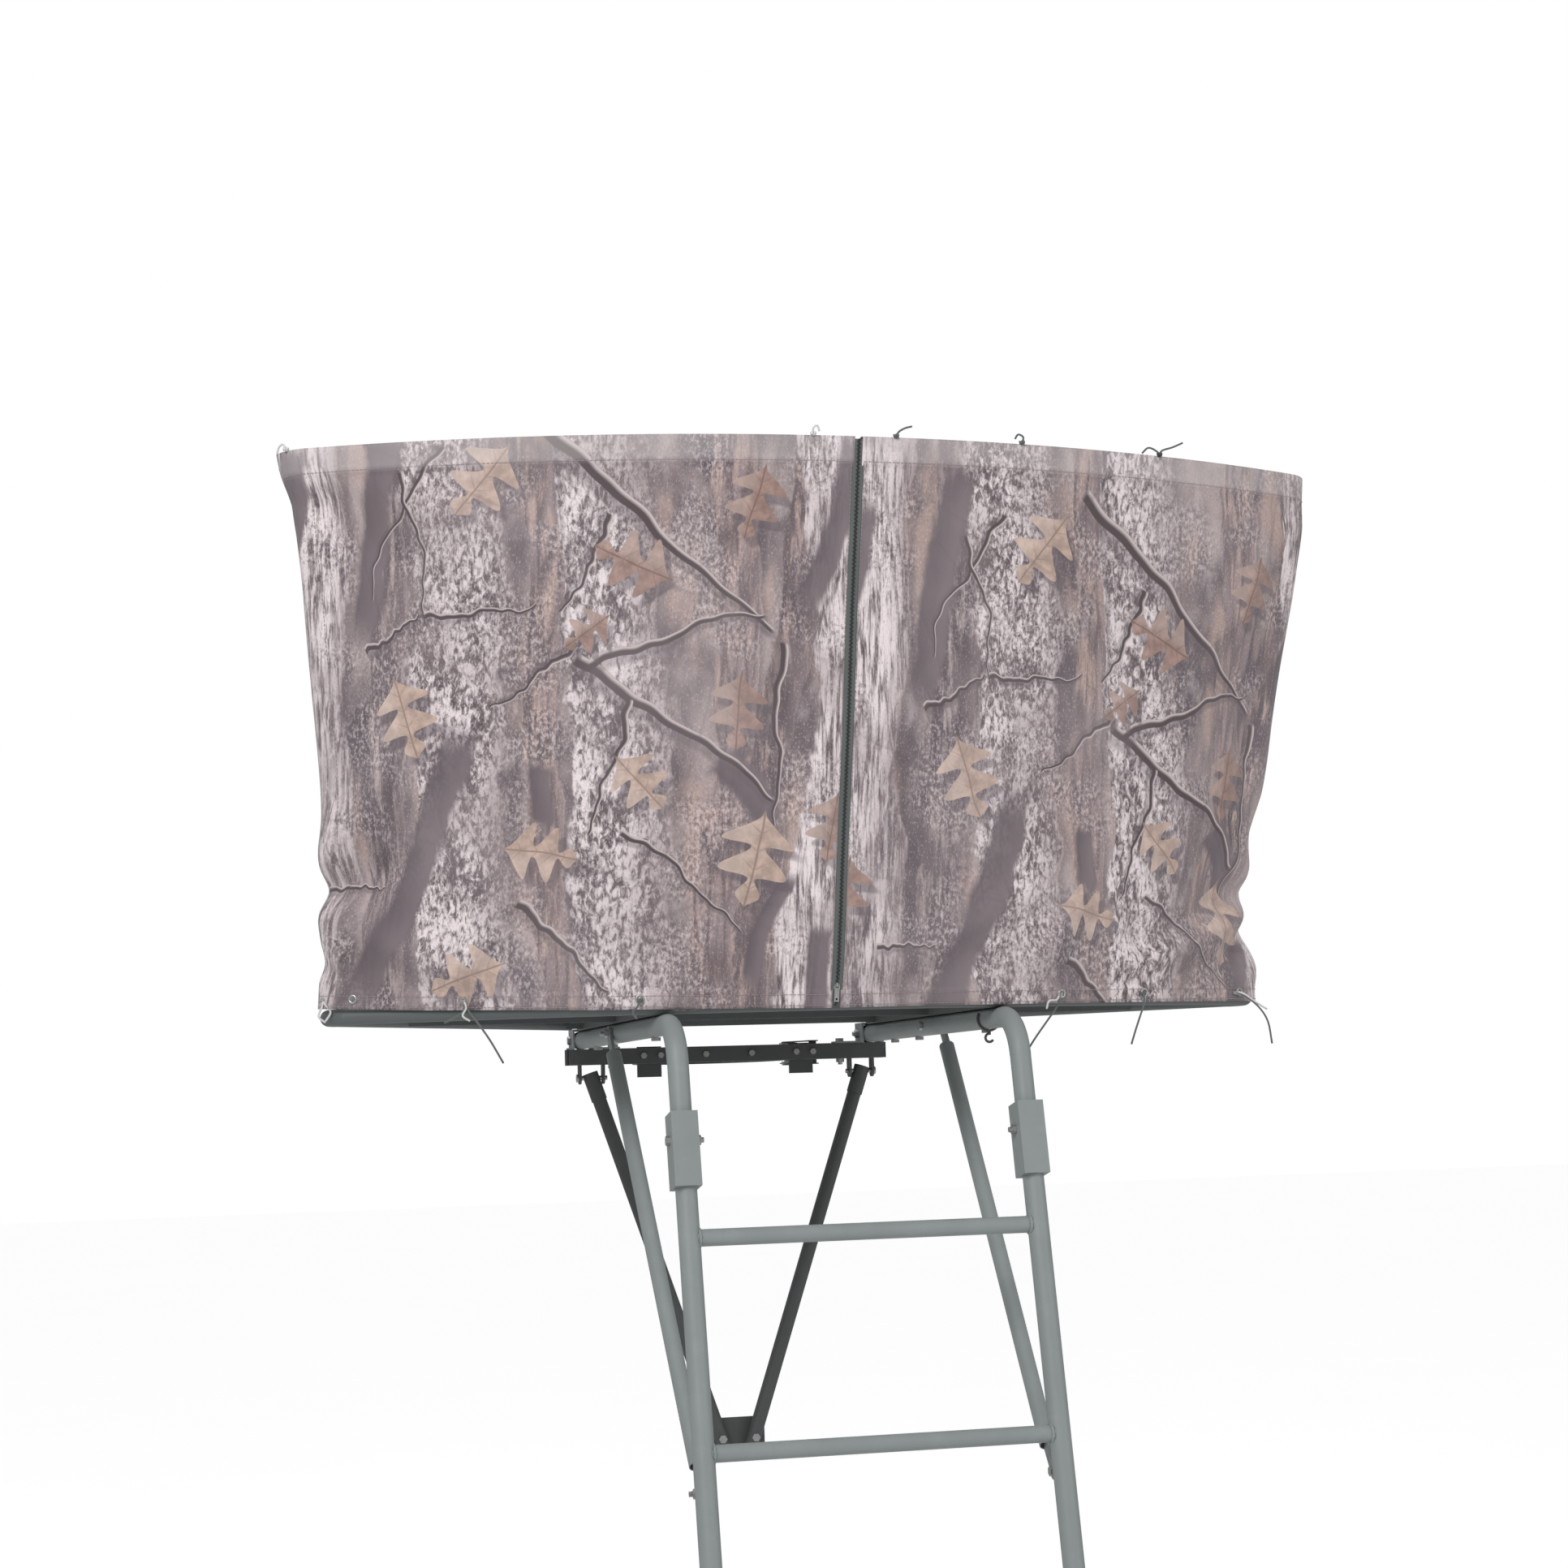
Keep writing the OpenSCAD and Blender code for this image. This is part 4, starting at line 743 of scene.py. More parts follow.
def billow(s, z):
    """Slow unevenness of hung cloth."""
    return 0.0030 * (
        np.sin(7.1 * s + 3.0 * z + 0.4)
        + 0.8 * np.sin(15.0 * s - 6.0 * z + 1.9)
        + 0.6 * np.sin(10.0 * s + 17.0 * z + 0.7)
        + 0.35 * np.sin(34.0 * s + 9.0 * z + 2.6)
    )


def cloth(arc_top, arc_low, k, out=0.0):
    """Cloth surface and normals, from arc lengths at the top and at the hem; k runs down from 0 to 1."""
    st, sl = np.asarray(arc_top, float), np.asarray(arc_low, float)
    k = np.asarray(k, float)
    xt, yt, nxt, nyt = bow_point(RAIL_BOW, TOP_OFF, st)
    xl, yl, nxl, nyl = bow_point(DECK_BOW, LOW_OFF, sl)
    x, y = xt + (xl - xt) * k, yt + (yl - yt) * k
    nx, ny = nxt + (nxl - nxt) * k, nyt + (nyl - nyt) * k
    norm = np.hypot(nx, ny)
    nx, ny = nx / norm, ny / norm
    t = st / reach(RAIL_BOW)
    hem = HEM_Z + np.interp(t, HEM_T, HEM_LIFT)
    z = SKIRT_TOP + (hem - SKIRT_TOP) * k
    pull = np.where(t < 0, np.interp(k, PULL_K, PULL_LEFT), np.interp(k, PULL_K, PULL_RIGHT))
    x = x - np.sign(t) * pull * smoothstep(np.abs(t), 0.72, 0.97)
    s = st + (sl - st) * k
    free = smoothstep(k, 0.03, 0.10) * smoothstep(1 - k, 0.012, 0.10)
    d = (creases(s, z) + billow(s, z)) * free + 0.001 + out
    return np.stack([x + nx * d, y + ny * d, z], -1), np.stack([nx, ny, nx * 0], -1)


def ends(side):
    """Arc lengths at the top and at the hem of a panel's two edges, from left to right."""
    if side == "left":
        return (-reach(RAIL_BOW), -reach(DECK_BOW)), (ZIP_TOP - ZIP_HALF, ZIP_LOW - ZIP_HALF)
    return (ZIP_TOP + ZIP_HALF, ZIP_LOW + ZIP_HALF), (reach(RAIL_BOW), reach(DECK_BOW))


def hang(obj):
    """Gives a piece that hangs from the rail a mesh of its own."""
    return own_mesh(obj)


# Widths of the hems at the top, bottom and side, how far they stand out, and half their edge's width
TOP_HEM = 0.042
LOW_HEM = 0.026
SIDE_HEM = 0.040
HEM_RISE = 0.0014
HEM_EDGE = 0.003
# Height of the cloth, and the rows of faces that turn in over the rail
HEIGHT = SKIRT_TOP - HEM_Z
TURNS = 5


def panel_shares(side, width):
    """Shares across and down a panel, closer together at the edges of its hems."""
    across = np.linspace(0, 1, int(width / 0.0066))
    down = np.linspace(0, 1, int(HEIGHT / 0.0068))
    hem_edge = SIDE_HEM / width
    near = np.array([hem_edge - HEM_EDGE, hem_edge, hem_edge + HEM_EDGE])
    across = np.sort(np.concatenate([across, near if side == "left" else 1 - near]))
    edges = [k + d for k in (TOP_HEM / HEIGHT, 1 - LOW_HEM / HEIGHT) for d in (-HEM_EDGE, 0, HEM_EDGE)]
    return across, np.sort(np.concatenate([down, edges]))


def hem_share(side, across, down, width):
    """1 on the folded hems of a panel, 0 on its single cloth."""
    k_top, k_low = TOP_HEM / HEIGHT, 1 - LOW_HEM / HEIGHT
    side_dist = (across if side == "left" else 1 - across) * width
    top = 1 - smoothstep(down, k_top - HEM_EDGE, k_top + HEM_EDGE)
    low = smoothstep(down, k_low - HEM_EDGE, k_low + HEM_EDGE)
    edge = 1 - smoothstep(side_dist, SIDE_HEM - HEM_EDGE, SIDE_HEM + HEM_EDGE)
    return np.maximum(np.maximum(top, low), edge)


def turned_edge(shape, top_row, normals):
    """Turns the panel's top edge in over the rail; its first row of vertices is the top edge."""
    cols = len(top_row)
    start = len(shape.verts)
    for j in range(1, TURNS + 1):
        a = math.pi / 2 * j / TURNS
        row = top_row - normals * 0.0178 * math.sin(a) * 1.05 + np.array([0, 0, 0.0028 * math.sin(a * 2)])
        shape.verts += [tuple(v) for v in row]
    for j in range(TURNS):
        upper = 0 if j == 0 else start + (j - 1) * cols
        lower = start + j * cols
        for i in range(cols - 1):
            shape.faces.append((lower + i, upper + i, upper + i + 1, lower + i + 1))
            shape.mats.append(0)


def skirt_panel(side, camo_material):
    """One panel of the skirt, with its hems folded over on the face."""
    (st0, sl0), (st1, sl1) = ends(side)
    width = abs(st1 - st0)
    c, k = panel_shares(side, width)
    across, down = np.meshgrid(c, k)
    top, low = st0 + (st1 - st0) * across, sl0 + (sl1 - sl0) * across
    points, _ = cloth(top, low, down, hem_share(side, across, down, width) * HEM_RISE)
    rows, cols = across.shape
    grid = np.arange(rows * cols).reshape(rows, cols)
    quads = np.stack([grid[:-1, :-1], grid[1:, :-1], grid[1:, 1:], grid[:-1, 1:]], -1).reshape(-1, 4)
    shape = Shape()
    shape.add(points.reshape(-1, 3), quads.tolist())
    _, normals = cloth(top[0], low[0], np.zeros_like(c))
    turned_edge(shape, points[0], normals)
    obj = shape.piece("skirt_cloth_" + side, [camo_material, lining], "rail")
    # Each vertex keeps its place on the flat cloth, which the print follows
    flat = np.zeros((len(obj.data.vertices), 3), np.float32)
    flat[: rows * cols, 0] = (top * (1 - down) + low * down).ravel()
    flat[: rows * cols, 1] = (1 - down.ravel()) * HEIGHT
    for j in range(TURNS):
        at = rows * cols + j * cols
        flat[at : at + cols, 0] = top[0]
        flat[at : at + cols, 1] = HEIGHT + 0.004 * (j + 1)
    obj.data.attributes.new("cloth", "FLOAT_VECTOR", "POINT").data.foreach_set("vector", flat.ravel())
    solid = obj.modifiers.new("cloth thickness", "SOLIDIFY")
    solid.thickness = 0.0016
    solid.offset = -1
    solid.material_offset = 1
    solid.use_quality_normals = True
    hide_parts("skirt_" + side)
    return hang(obj)


def stitches(shape, path, normals, length=0.0042, gap=0.0022, half=0.0005):
    """Row of thread dashes along a path that lies on the cloth."""
    seg = np.linalg.norm(np.diff(path, axis=0), axis=1)
    along = np.concatenate([[0], np.cumsum(seg)])
    starts = np.arange(0, along[-1] - length, length + gap)
    for s in starts:
        a = np.array([np.interp(s, along, path[:, i]) for i in range(3)])
        b = np.array([np.interp(s + length, along, path[:, i]) for i in range(3)])
        n = Vector([np.interp(s, along, normals[:, i]) for i in range(3)]).normalized()
        t = Vector(b - a).normalized()
        u = n.cross(t).normalized()
        shape.block((a + b) / 2, (t, u, n), (length / 2, half, half * 0.8))


def skirt_seams():
    """Stitching along every hem and beside the zipper."""
    shape = Shape()
    count = 160
    for side in ("left", "right"):
        (st0, sl0), (st1, sl1) = ends(side)
        width = abs(st1 - st0)
        c = np.linspace(0.004, 0.996, count)
        for k in (TOP_HEM / HEIGHT - 0.006, 1 - LOW_HEM / HEIGHT + 0.007, 1 - 0.004 / HEIGHT):
            row = np.full(count, k)
            stitches(shape, *cloth(st0 + (st1 - st0) * c, sl0 + (sl1 - sl0) * c, row, HEM_RISE + 0.0003))
        outer, inner = (SIDE_HEM - 0.006) / width, 1 - 0.004 / width
        k = np.linspace(0.012, 0.988, count)
        for share, rise in ((outer, HEM_RISE), (inner, 0.0)):
            share = share if side == "left" else 1 - share
            top = np.full(count, st0 + (st1 - st0) * share)
            low = np.full(count, sl0 + (sl1 - sl0) * share)
            stitches(shape, *cloth(top, low, k, rise + 0.0003))
    return hang(shape.piece("skirt_stitching", [thread], "rail", smooth=False))


def zipper():
    """Two tapes with a row of teeth between them."""
    shape = Shape()
    count = 90
    k = np.linspace(0.004, 0.998, count)
    half = ZIP_HALF + 0.0028
    strips = np.linspace(-half, half, 9)
    rows = []
    for offset in strips:
        bulge = 0.0006 * math.cos(offset / half * math.pi / 2)
        top, low = np.full(count, ZIP_TOP + offset), np.full(count, ZIP_LOW + offset)
        rows.append(cloth(top, low, k, 0.0003 + bulge)[0])
    verts = np.stack(rows, 1).reshape(-1, 3)
    n = len(strips)
    starts = [i * n + j for i in range(count - 1) for j in range(n - 1)]
    shape.add(verts, [(a, a + n, a + n + 1, a + 1) for a in starts])
    tape = shape.piece("zipper_tapes", [tape_cloth], "rail")
    solid = tape.modifiers.new("tape thickness", "SOLIDIFY")
    solid.thickness = 0.0012
    solid.offset = -1
    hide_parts("zipper_tape")
    hang(tape)
    teeth = Shape()
    pitch = 0.0030
    total = int(HEIGHT / pitch)
    ks = (np.arange(total) + 0.5) / total
    path, normals = cloth(np.full(total, ZIP_TOP), np.full(total, ZIP_LOW), ks, 0.0013)
    for i in range(1, total - 1):
        t = Vector(path[i + 1] - path[i - 1]).normalized()
        nrm = Vector(normals[i])
        u = nrm.cross(t).normalized()
        side = 0.0009 if i % 2 else -0.0009
        teeth.block(Vector(path[i]) + u * side, (u, t, nrm), (0.0017, pitch * 0.42, 0.0009))
    hang(teeth.piece("zipper_teeth", [black_plastic], "rail", smooth=False))


def carried_copy(name, node, body, bevel, material_used):
    """A copy of a small CAD piece with softened edges, which stands for it."""
    mesh = nodes[node].data.copy()
    mesh.name = name
    obj = new_object(name, mesh)
    bm = bmesh.new()
    bm.from_mesh(mesh)
    bmesh.ops.remove_doubles(bm, verts=bm.verts, dist=1e-6)
    bmesh.ops.dissolve_limit(bm, angle_limit=math.radians(1), verts=bm.verts, edges=bm.edges)
    sharp = [e for e in bm.edges if len(e.link_faces) == 2 and e.calc_face_angle(0) > math.radians(35)]
    cut = dict(offset=bevel, segments=2, profile=0.6, affect="EDGES", clamp_overlap=True)
    bmesh.ops.bevel(bm, geom=sharp, **cut)
    bm.to_mesh(mesh)
    bm.free()
    mesh.materials.clear()
    mesh.materials.append(material_used)
    smooth_by_angle(obj, 40)
    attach(obj, body)
    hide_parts(node)
    return obj


# Eyelets: shares of the half width, and their height as a share of the way down
HEM_TIES = [-0.93, -0.71, -0.38, 0.46, 0.66, 0.93]
EYELET_K = 0.982


def ring(shape, centre, normal, radius, wire, flat=0.55):
    """Rolled eyelet: a flattened torus with its axis along the normal."""
    n = Vector(normal).normalized()
    u = Vector((0, 0, 1)).cross(n).normalized()
    v = n.cross(u)
    around, section = 28, 8
    verts, faces = [], []
    for i in range(around):
        a = 2 * math.pi * i / around
        radial = u * math.cos(a) + v * math.sin(a)
        for j in range(section):
            b = 2 * math.pi * j / section
            out, up = radius + wire * math.cos(b), wire * flat * math.sin(b)
            verts.append(Vector(centre) + radial * out + n * up)
    for i in range(around):
        for j in range(section):
            a, b = i * section + j, i * section + (j + 1) % section
            ahead = ((i + 1) % around) * section
            faces.append((a, b, ahead + (j + 1) % section, ahead + j))
    shape.add(verts, faces)


def cloth_at(t, k, out=0.0):
    """Point and normal of the cloth at a share of the half width and a share of the way down."""
    p, n = cloth([t * reach(RAIL_BOW)], [t * reach(DECK_BOW)], [k], out)
    return Vector(p[0]), Vector(n[0])


def eyelets():
    """Metal eyelets along the hem."""
    shape = Shape()
    for t in HEM_TIES:
        p, n = cloth_at(t, EYELET_K, HEM_RISE)
        ring(shape, p + n * 0.0004, n, 0.0055, 0.0020)
    obj = shape.piece("hem_eyelets", [zinc], "rail")
    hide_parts("grommets")
    return hang(obj)


def knot(shape, centre, size, mat=0):
    """Small overhand knot: two crossed loops."""
    c = Vector(centre)
    points = []
    for i in range(20):
        a = 2 * math.pi * i / 20
        points.append(c + Vector((math.sin(a), math.sin(a * 2) * 0.5, math.cos(a * 3) * 0.7)) * size)
    shape.tube(points, size * 0.42, 7, closed=True, mat=mat)


CORD_R = 0.0016
# Cords: share of the half width, the way the end falls in mm, and its material (0 dark, 1 pale)
HEM_CORDS = [
    (-0.985, [(0, -4, -10), (-6, -8, -26), (4, -10, -36)], 1),
    (-0.985, [(4, -4, -8), (12, -9, -20), (4, -10, -34)], 1),
    (-0.71, [(6, -6, -16), (20, -12, -36), (38, -10, -62), (58, -4, -96)], 0),
    (-0.71, [(2, -6, -14), (-14, -10, -26), (-30, -6, -34)], 0),
    (-0.71, [(3, -7, -12), (-3, -12, -24), (8, -10, -32)], 1),
    (0.455, [(-4, 6, -20), (-18, 10, -40), (-38, 12, -66), (-56, 10, -90)], 0),
    (0.455, [(-8, -6, -10), (-22, -10, -12), (-26, -8, -24)], 1),
    (0.655, [(-1, -6, -16), (-10, -10, -36), (-18, -8, -58), (-26, -6, -82)], 0),
    (0.915, [(14, -6, -8), (34, -12, -26), (50, -10, -50), (58, -4, -86)], 0),
    (0.915, [(12, -6, -4), (30, -10, -18), (50, -8, -30)], 1),
    (-0.38, [(-4, -4, -10), (-12, -6, -20), (-6, -6, -30)], 0),
]
TOP_CORDS = [
    (-0.975, [(-4, 2, 10), (-10, 4, 6), (-13, 6, -4)], 1),
    (-0.06, [(0, -2, 10), (6, -2, 14), (10, 0, 6)], 1),
    (0.09, [(4, -2, 8), (14, -2, 14), (26, 2, 18)], 0),
    (0.33, [(2, -2, 10), (-6, -2, 14), (-10, 2, 8)], 0),
    (0.62, [(4, -2, 8), (22, -2, 14), (40, 0, 22)], 0),
    (0.62, [(-4, -2, 6), (-18, -2, 12), (-28, 2, 4)], 0),
]


def cords(name, specs, k, replaced):
    """Knotted cords at one height of the skirt."""
    shape = Shape()
    for t, steps, mat in specs:
        p, n = cloth_at(t, k, HEM_RISE)
        start = p + n * 0.0015
        ctrl = [start] + [start + Vector(q) * 0.001 for q in steps]
        path = curve_points(ctrl, 18)
        shape.tube(path, CORD_R, 7, mat=mat)
        knot(shape, start + Vector((0, -0.001, -0.002 if k > 0.5 else 0.002)), 0.0034, mat)
    obj = shape.piece(name, [cord_dark, cord_pale], "rail")
    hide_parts(replaced)
    return hang(obj)


skirt_panel("left", camo_left)
skirt_panel("right", camo_right)
skirt_seams()
zipper()
eyelets()
cords("hem_cords", HEM_CORDS, EYELET_K, "ties_bottom")
cords("top_cords", TOP_CORDS, 0.0, "ties_top")
hang(carried_copy("slider_body", "zipper_slider", "slider", 0.0006, zinc))
hang(carried_copy("slider_pull", "zipper_pull", "pull", 0.0004, zinc))


# ---------- Padding ----------


def inflate(obj, pressure, cap, frames=20):
    """Swells a closed padded form with Cloth, moves no point further than cap, and bakes the result."""
    scene = bpy.context.scene
    rest = np.array([v.co for v in obj.data.vertices])
    mod = obj.modifiers.new("pad", "CLOTH")
    settings = mod.settings
    settings.use_pressure = True
    settings.uniform_pressure_force = pressure
    settings.effector_weights.gravity = 0
    settings.quality = 5
    settings.tension_stiffness = 12
    settings.compression_stiffness = 12
    mod.point_cache.frame_start = 1
    mod.point_cache.frame_end = frames
    for f in range(1, frames + 1):
        scene.frame_set(f)
    done = obj.evaluated_get(bpy.context.evaluated_depsgraph_get()).to_mesh()
    moved = np.array([v.co for v in done.vertices])
    obj.modifiers.remove(mod)
    shift = moved - rest
    far = np.linalg.norm(shift, axis=1, keepdims=True)
    shift *= np.minimum(1, cap / np.maximum(far, 1e-9))
    obj.data.vertices.foreach_set("co", (rest + shift).astype(np.float32).ravel())
    obj.data.update()
    scene.frame_set(1)


PAD_CORNER = 0.055
PAD_INSET = 0.007


def cushion_form(name, lo, hi, plan, up):
    """Closed form between two corners, with rounded plan corners and a thinner rim, in even voxels."""
    size = hi - lo
    bm = bmesh.new()
    counts = [max(int(size[a] / 0.011), 4) for a in plan]
    bmesh.ops.create_grid(bm, x_segments=counts[0], y_segments=counts[1], size=0.5)
    bmesh.ops.solidify(bm, geom=bm.faces, thickness=0.1)
    verts = np.array([v.co for v in bm.verts])
    zmid = (verts[:, 2].max() + verts[:, 2].min()) / 2
    half = size[plan] / 2
    share = verts[:, :2] * 2
    flat = share * half
    # The corners of the plan are drawn in to a radius
    over = np.maximum(np.abs(flat) - (half - PAD_CORNER), 0)
    far = np.hypot(over[:, 0], over[:, 1])
    scale = np.where(far > PAD_CORNER, PAD_CORNER / np.maximum(far, 1e-9), 1)[:, None]
    flat = np.sign(flat) * (np.minimum(np.abs(flat), half - PAD_CORNER) + over * scale)
    rim = np.abs(share).max(1)
    thick = size[up] / 2 * (0.62 + 0.38 * np.sqrt(np.clip(1 - rim**4, 0, 1)))
    placed = np.tile((lo + hi) / 2, (len(verts), 1))
    placed[:, plan] += flat
    placed[:, up] += np.where(verts[:, 2] > zmid, thick, -thick)
    for v, p in zip(bm.verts, placed):
        v.co = p
    bmesh.ops.recalc_face_normals(bm, faces=bm.faces)
    mesh = bpy.data.meshes.new(name)
    bm.to_mesh(mesh)
    bm.free()
    obj = new_object(name, mesh)
    remesh = obj.modifiers.new("voxels", "REMESH")
    remesh.mode = "VOXEL"
    remesh.voxel_size = 0.0055
    meshed = bpy.data.meshes.new_from_object(obj.evaluated_get(bpy.context.evaluated_depsgraph_get()))
    obj.modifiers.remove(remesh)
    obj.data = meshed
    return obj


def piping_path(co, mid, plan, half):
    """Closed line round a cushion at the middle of its thickness, on the widest part of the form."""
    flat = co[:, plan] - mid[plan]
    spots = []
    for qx, qy, start in ((1, 1, 0), (-1, 1, 90), (-1, -1, 180), (1, -1, 270)):
        for turn in range(0, 91, 10):
            n = np.array([math.cos(math.radians(start + turn)), math.sin(math.radians(start + turn))])
            spots.append((np.array([qx, qy]) * (half - PAD_CORNER) + n * PAD_CORNER, n))
    path = []
    for i, (p, n) in enumerate(spots):
        ahead = spots[(i + 1) % len(spots)][0]
        count = max(1, int(np.linalg.norm(ahead - p) / 0.015))
        for j in range(count):
            q = p + (ahead - p) * j / count
            rel = flat - q
            near = np.abs(rel @ np.array([-n[1], n[0]])) < 0.007
            point = mid.copy()
            point[plan] += q + n * ((rel @ n)[near].max() - 0.0005)
            path.append(point)
    return path


def pad(name, node, body, up, channels, crown):
    """Sewn cushion in the space of a CAD solid: swollen by Cloth, with sewn channels and piping."""
    low, high = (np.array(corner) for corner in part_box(node))
    size, mid = high - low, (low + high) / 2
    plan = [0, 3 - up]
    inset = np.full(3, PAD_INSET)
    inset[up] = min(0.010, size[up] * 0.18)
    lo, hi = low + inset, high - inset
    obj = cushion_form(name, lo, hi, plan, up)
    inflate(obj, 4, crown)
    co = np.array([v.co for v in obj.data.vertices])
    # Swelling draws the outline in, so it is let out to its cut size again
    for a in plan:
        least, most = co[:, a].min(), co[:, a].max()
        co[:, a] = lo[a] + (co[:, a] - least) * (hi[a] - lo[a]) / (most - least)
    # Sewn channels across the cushion, on both faces
    for share in channels:
        at = low[0] + size[0] * share
        groove = np.exp(-(((co[:, 0] - at) / 0.007) ** 2))
        co[:, up] -= (co[:, up] - mid[up]) * groove * 0.34
    depth = co[:, plan[1]]
    co[:, up] += np.sin(co[:, 0] * 61 + depth * 23) * np.sin(co[:, 0] * 17 - depth * 71) * 0.0007
    # The back of a seat cushion or backrest lies flat on its panel or posts
    if up == 2:
        co[:, 2] = np.maximum(co[:, 2], low[2] + 0.0004)
    else:
        co[:, 1] = np.minimum(co[:, 1], high[1] - 0.0004)
    obj.data.vertices.foreach_set("co", co.astype(np.float32).ravel())
    obj.data.materials.clear()
    obj.data.materials.append(pad_cloth)
    obj.data.shade_smooth()
    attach(obj, body)
    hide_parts(node)
    line = Shape()
    line.tube(piping_path(co, mid, plan, size[plan] / 2 - PAD_INSET), 0.0032, 8, closed=True)
    outward(line.piece(name + "_piping", [tape_cloth], body, world=True))


pad("seat_pad", "seat_cushion", "seat", 2, (0.2, 0.4, 0.6, 0.8), 0.016)
pad("back_pad", "backrest", "stand", 1, (0.25, 0.5, 0.75), 0.012)


def arm_sleeve(node):
    """Foam sleeve over the rail with pressed rings and rounded ends."""
    co = np.array([v.co for v in nodes[node].data.vertices])
    centre = (co.max(0) + co.min(0)) / 2
    _, _, axes = np.linalg.svd(co - co.mean(0), full_matrices=False)
    axis = axes[0] / np.linalg.norm(axes[0])
    length = np.ptp(co @ axis)
    radius = 0.0200
    count = 150
    share = np.linspace(-0.5, 0.5, count)
    inner = 0.0132
    end_round = np.minimum(0.5 - np.abs(share), 0.02) / 0.02
    radii = inner + (radius - inner) * np.sqrt(np.clip(1 - (1 - end_round) ** 2, 0, 1))
    # Pressed rings every 16 mm, and a slight unevenness
    radii -= 0.0010 * (np.cos(share * length / 0.016 * 2 * math.pi) > 0.93)
    radii += 0.0002 * np.sin(share * 37)
    shape = Shape()
    shape.tube([Vector(centre + axis * length * s) for s in share], radii.tolist(), 28)
    obj = shape.piece(node.replace("arm_pad", "arm_sleeve"), [foam], "rail", world=True)
    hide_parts(node)


arm_sleeve("arm_pad_left")
arm_sleeve("arm_pad_right")


# ---------- Deck of expanded metal ----------


def deck_mesh():
    """Diamond mesh cut to the deck's outline, with a flat rim."""
    mesh = nodes["platform_deck"].data
    co = np.array([v.co for v in mesh.vertices]) - np.array(ORIGIN)
    top = co[:, 2].max()
    rim = co[co[:, 2] > top - 1e-4]
    centre = rim.mean(0)
    order = np.argsort(np.arctan2(rim[:, 1] - centre[1], rim[:, 0] - centre[0]))
    outline = rim[order][:, :2]
    keep = [0]
    for i in range(1, len(outline)):
        if np.linalg.norm(outline[i] - outline[keep[-1]]) > 1e-4:
            keep.append(i)
    outline = outline[keep]
    z = top - 0.0012

    def inside(p, margin=0.004):
        nxt = np.roll(outline, -1, axis=0)
        edge = nxt - outline
        normal = np.stack([-edge[:, 1], edge[:, 0]], 1) / np.linalg.norm(edge, axis=1, keepdims=True)
        return np.all(((p - outline) * normal).sum(1) > margin)

    shape = Shape()
    pitch_x, pitch_y = 0.044, 0.019
    low, high = outline.min(0), outline.max(0)
    rows = int((high[1] - low[1]) / (pitch_y / 2)) + 2
    cols = int((high[0] - low[0]) / pitch_x) + 2
    up = Vector((0, 0, 1))
    for r in range(rows):
        for c in range(cols):
            x = low[0] + (c + 0.5 * (r % 2)) * pitch_x
            y = low[1] + r * pitch_y / 2
            for sx in (-1, 1):
                a = np.array([x, y])
                b = np.array([x + sx * pitch_x / 2, y + pitch_y / 2])
                if inside(a) and inside(b):
                    t = Vector((*(b - a), 0)).normalized()
                    side = up.cross(t)
                    tilted = (side + up * 0.5).normalized()
                    mid = Vector((*((a + b) / 2), z))
                    half = (np.linalg.norm(b - a) / 2 + 0.0016, 0.0018, 0.0008)
                    shape.block(mid, (t, tilted, t.cross(tilted)), half)
    # Flat rim
    n = len(outline)
    inner = centre[:2] + (outline - centre[:2]) * 0.978
    flat_rim = [(*p, top) for p in outline] + [(*p, top) for p in inner]
    flat_rim += [(*p, top - 0.0023) for p in outline] + [(*p, top - 0.0023) for p in inner]
    faces = []
    for i in range(n):
        j = (i + 1) % n
        faces.append((i, j, n + j, n + i))
        faces.append((2 * n + i, 3 * n + i, 3 * n + j, 2 * n + j))
        faces.append((i, 2 * n + i, 2 * n + j, j))
        faces.append((n + i, n + j, 3 * n + j, 3 * n + i))
    shape.add(flat_rim, faces)
    obj = shape.piece("deck_mesh", [frame_paint], "stand", smooth=False)
    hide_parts("platform_deck")


deck_mesh()


# ---------- Welds ----------


def weld_ring(shape, centre, axis, radius, bead=0.0028):
    """Uneven weld bead round a tube, with its axis given."""
    axis = Vector(axis).normalized()
    u = axis.orthogonal().normalized()
    v = axis.cross(u)
    count = 36
    points, radii = [], []
    for i in range(count):
        a = 2 * math.pi * i / count
        points.append(Vector(centre) + (u * math.cos(a) + v * math.sin(a)) * radius)
        radii.append(bead * (0.82 + 0.22 * math.sin(i * 2.2) + 0.10 * rng.random()))
    shape.tube(points, radii, 6, closed=True)


# Ladder: half the gap between its tubes' centres, tube and rung radii, rung spacing and lean
RAIL_HALF_GAP = 0.265
TUBE_R = 0.016
RUNG_R = 0.0125
RUNG_STEP = 0.305
LEAN = math.radians(11.5)


def ladder_welds():
    """Weld beads where the rungs meet the ladder's tubes."""
    shape = Shape()
    top_rung = ORIGIN.z / math.cos(LEAN) - 0.157 - 0.183
    for i in range(6):
        s = top_rung - i * RUNG_STEP
        y, z = s * math.sin(LEAN), s * math.cos(LEAN)
        for sx in (-1, 1):
            weld_ring(shape, (sx * (RAIL_HALF_GAP - TUBE_R + 0.0018), y, z), (1, 0, 0), RUNG_R + 0.0006)
    shape.piece("ladder_welds", [ladder_paint], "stand", world=True)


ladder_welds()


# ---------- Camera, light and floor ----------


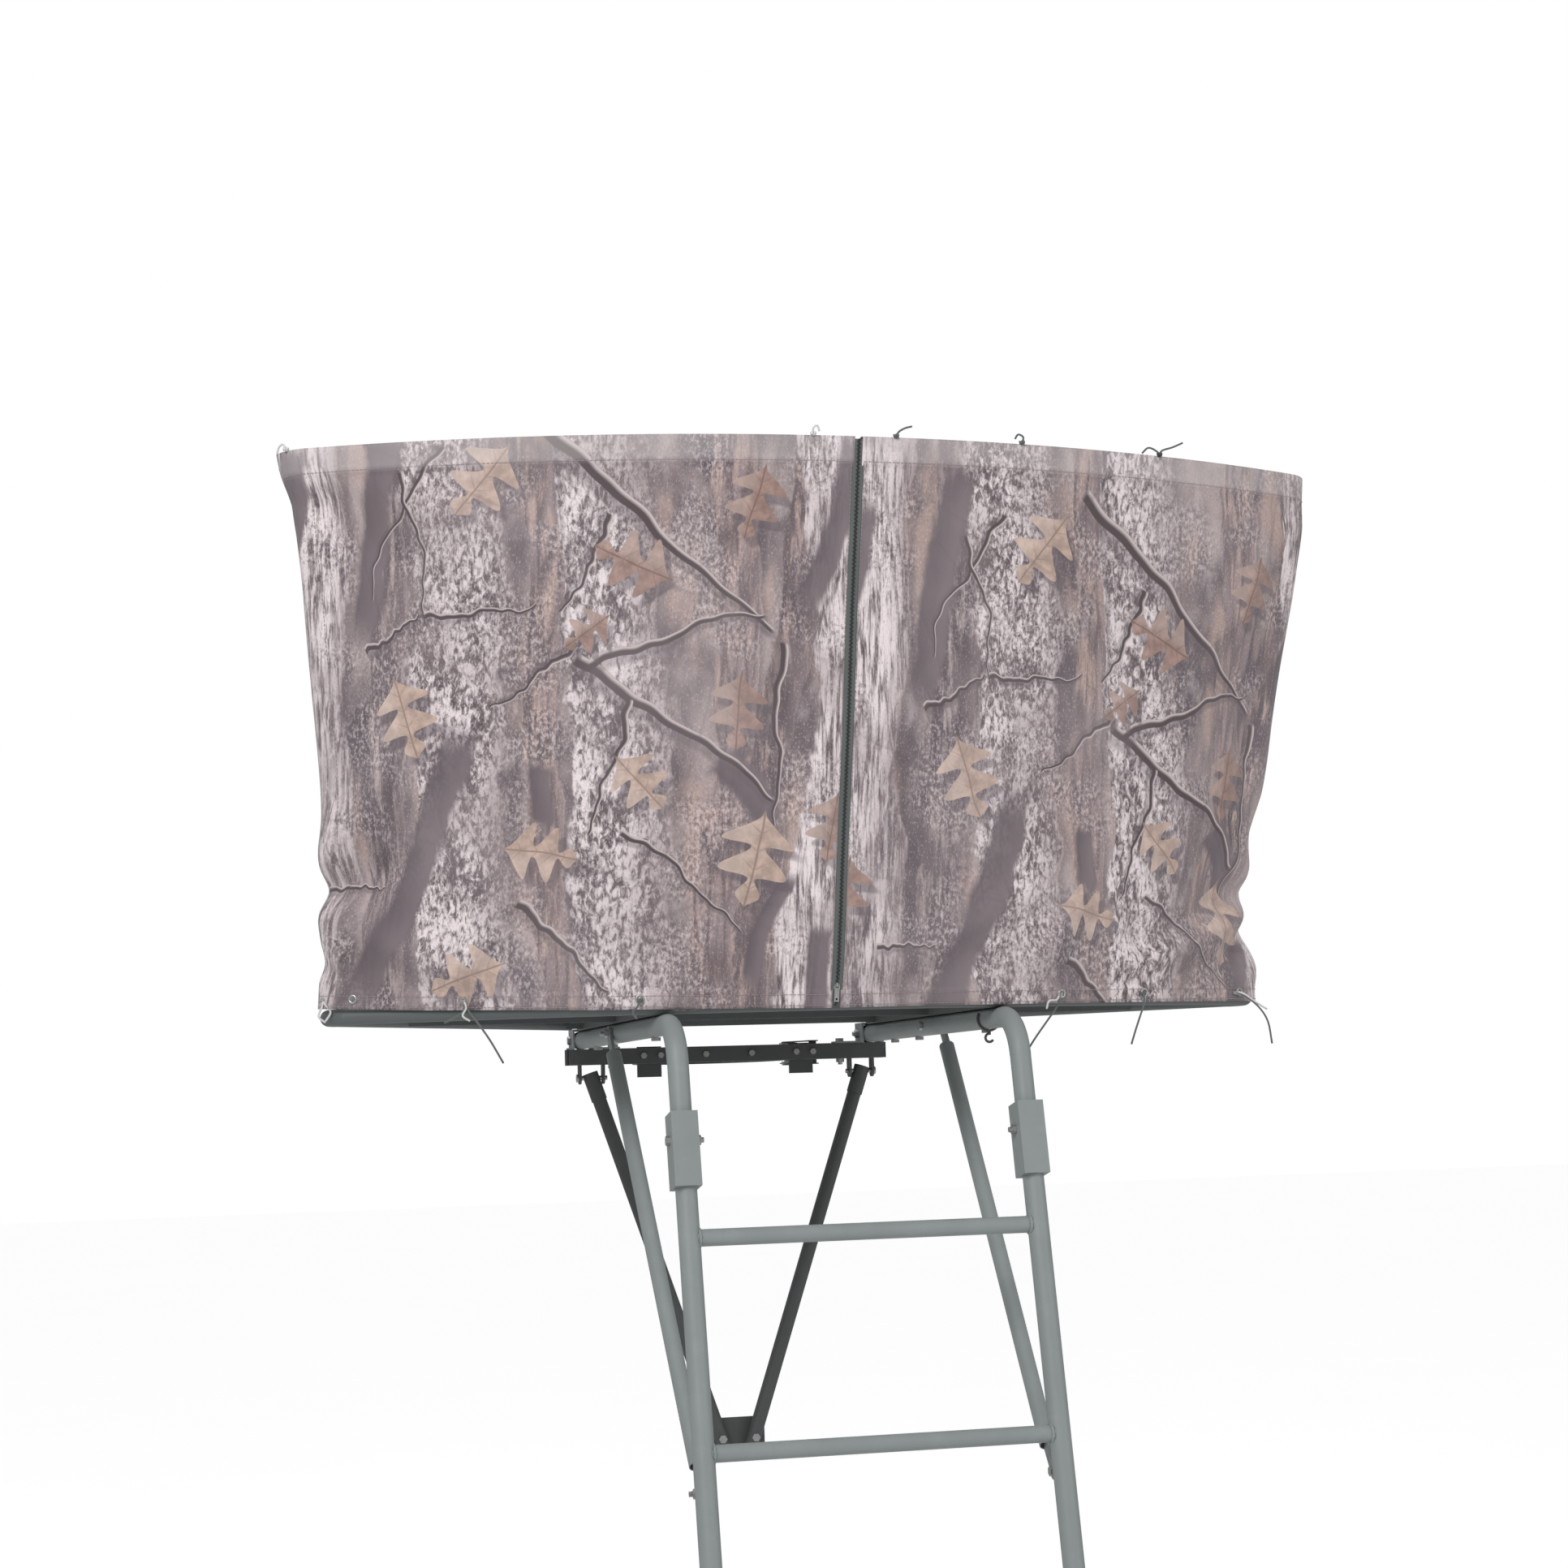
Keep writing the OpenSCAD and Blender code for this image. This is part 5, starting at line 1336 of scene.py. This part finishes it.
def studio():
    """Pale floor, white background and soft lights."""
    scene = bpy.context.scene
    floor_mesh = bpy.data.meshes.new("floor")
    r = 60
    floor_mesh.from_pydata([(-r, -r, 0), (r, -r, 0), (r, r, 0), (-r, r, 0)], [], [(0, 1, 2, 3)])
    floor = new_object("floor", floor_mesh)

    def pale():
        seen = Val(new_node("LightPath").outputs["Is Camera Ray"])
        tone = mix(noise(coords(), 0.6, 3), (0.86, 0.86, 0.86), (0.90, 0.90, 0.90))
        return {"colour": tone, "roughness": 0.7, "glow": seen * 0.62}

    floor_mesh.materials.append(material("floor_pale", pale))
    world = bpy.data.worlds.new("studio")
    world.use_nodes = True
    Val.tree = world.node_tree
    # The camera sees a white background that lights the object less than it shows
    seen = Val(new_node("LightPath").outputs["Is Camera Ray"])
    background = Val.tree.nodes["Background"]
    plug(background.inputs["Color"], (1.0, 1.0, 1.0))
    plug(background.inputs["Strength"], seen * 0.60 + 0.40)
    scene.world = world
    target = ORIGIN + Vector((0, 0.2, 0.3))
    for name, place, size, power in (
        ("key", (-3.2, -4.4, 3.4), 3.2, 215),
        ("fill", (4.2, -3.6, 1.0), 3.6, 60),
        ("top", (0.2, 1.4, 4.6), 3.0, 90),
    ):
        data = bpy.data.lights.new(name, "AREA")
        data.shape = "DISK"
        data.size = size
        data.energy = power
        light = new_object(name, data)
        light.location = ORIGIN + Vector(place)
        light.rotation_mode = "QUATERNION"
        light.rotation_quaternion = (target - light.location).to_track_quat("-Z", "Y")
    scene.view_settings.view_transform = "Standard"


def camera():
    """Camera low in front of the platform and to its left."""
    yaw, pitch, roll = math.radians(13.667), math.radians(6.637), math.radians(-1.748)
    right = Vector((math.cos(yaw), -math.sin(yaw), 0))
    forward = Vector((math.sin(yaw) * math.cos(pitch), math.cos(yaw) * math.cos(pitch), math.sin(pitch)))
    up = Vector((-math.sin(pitch) * math.sin(yaw), -math.sin(pitch) * math.cos(yaw), math.cos(pitch)))
    x_axis = right * math.cos(roll) + up * math.sin(roll)
    y_axis = up * math.cos(roll) - right * math.sin(roll)
    data = bpy.data.cameras.new("camera")
    data.sensor_width = 36
    data.lens = 63.25
    data.clip_start, data.clip_end = 0.05, 200
    obj = new_object("camera", data)
    place = ORIGIN + Vector((-1.0645, -4.0486, -0.1455))
    turn = Matrix((x_axis, y_axis, -forward)).transposed()
    obj.matrix_world = Matrix.Translation(place) @ turn.to_4x4()
    bpy.context.scene.camera = obj


studio()
camera()
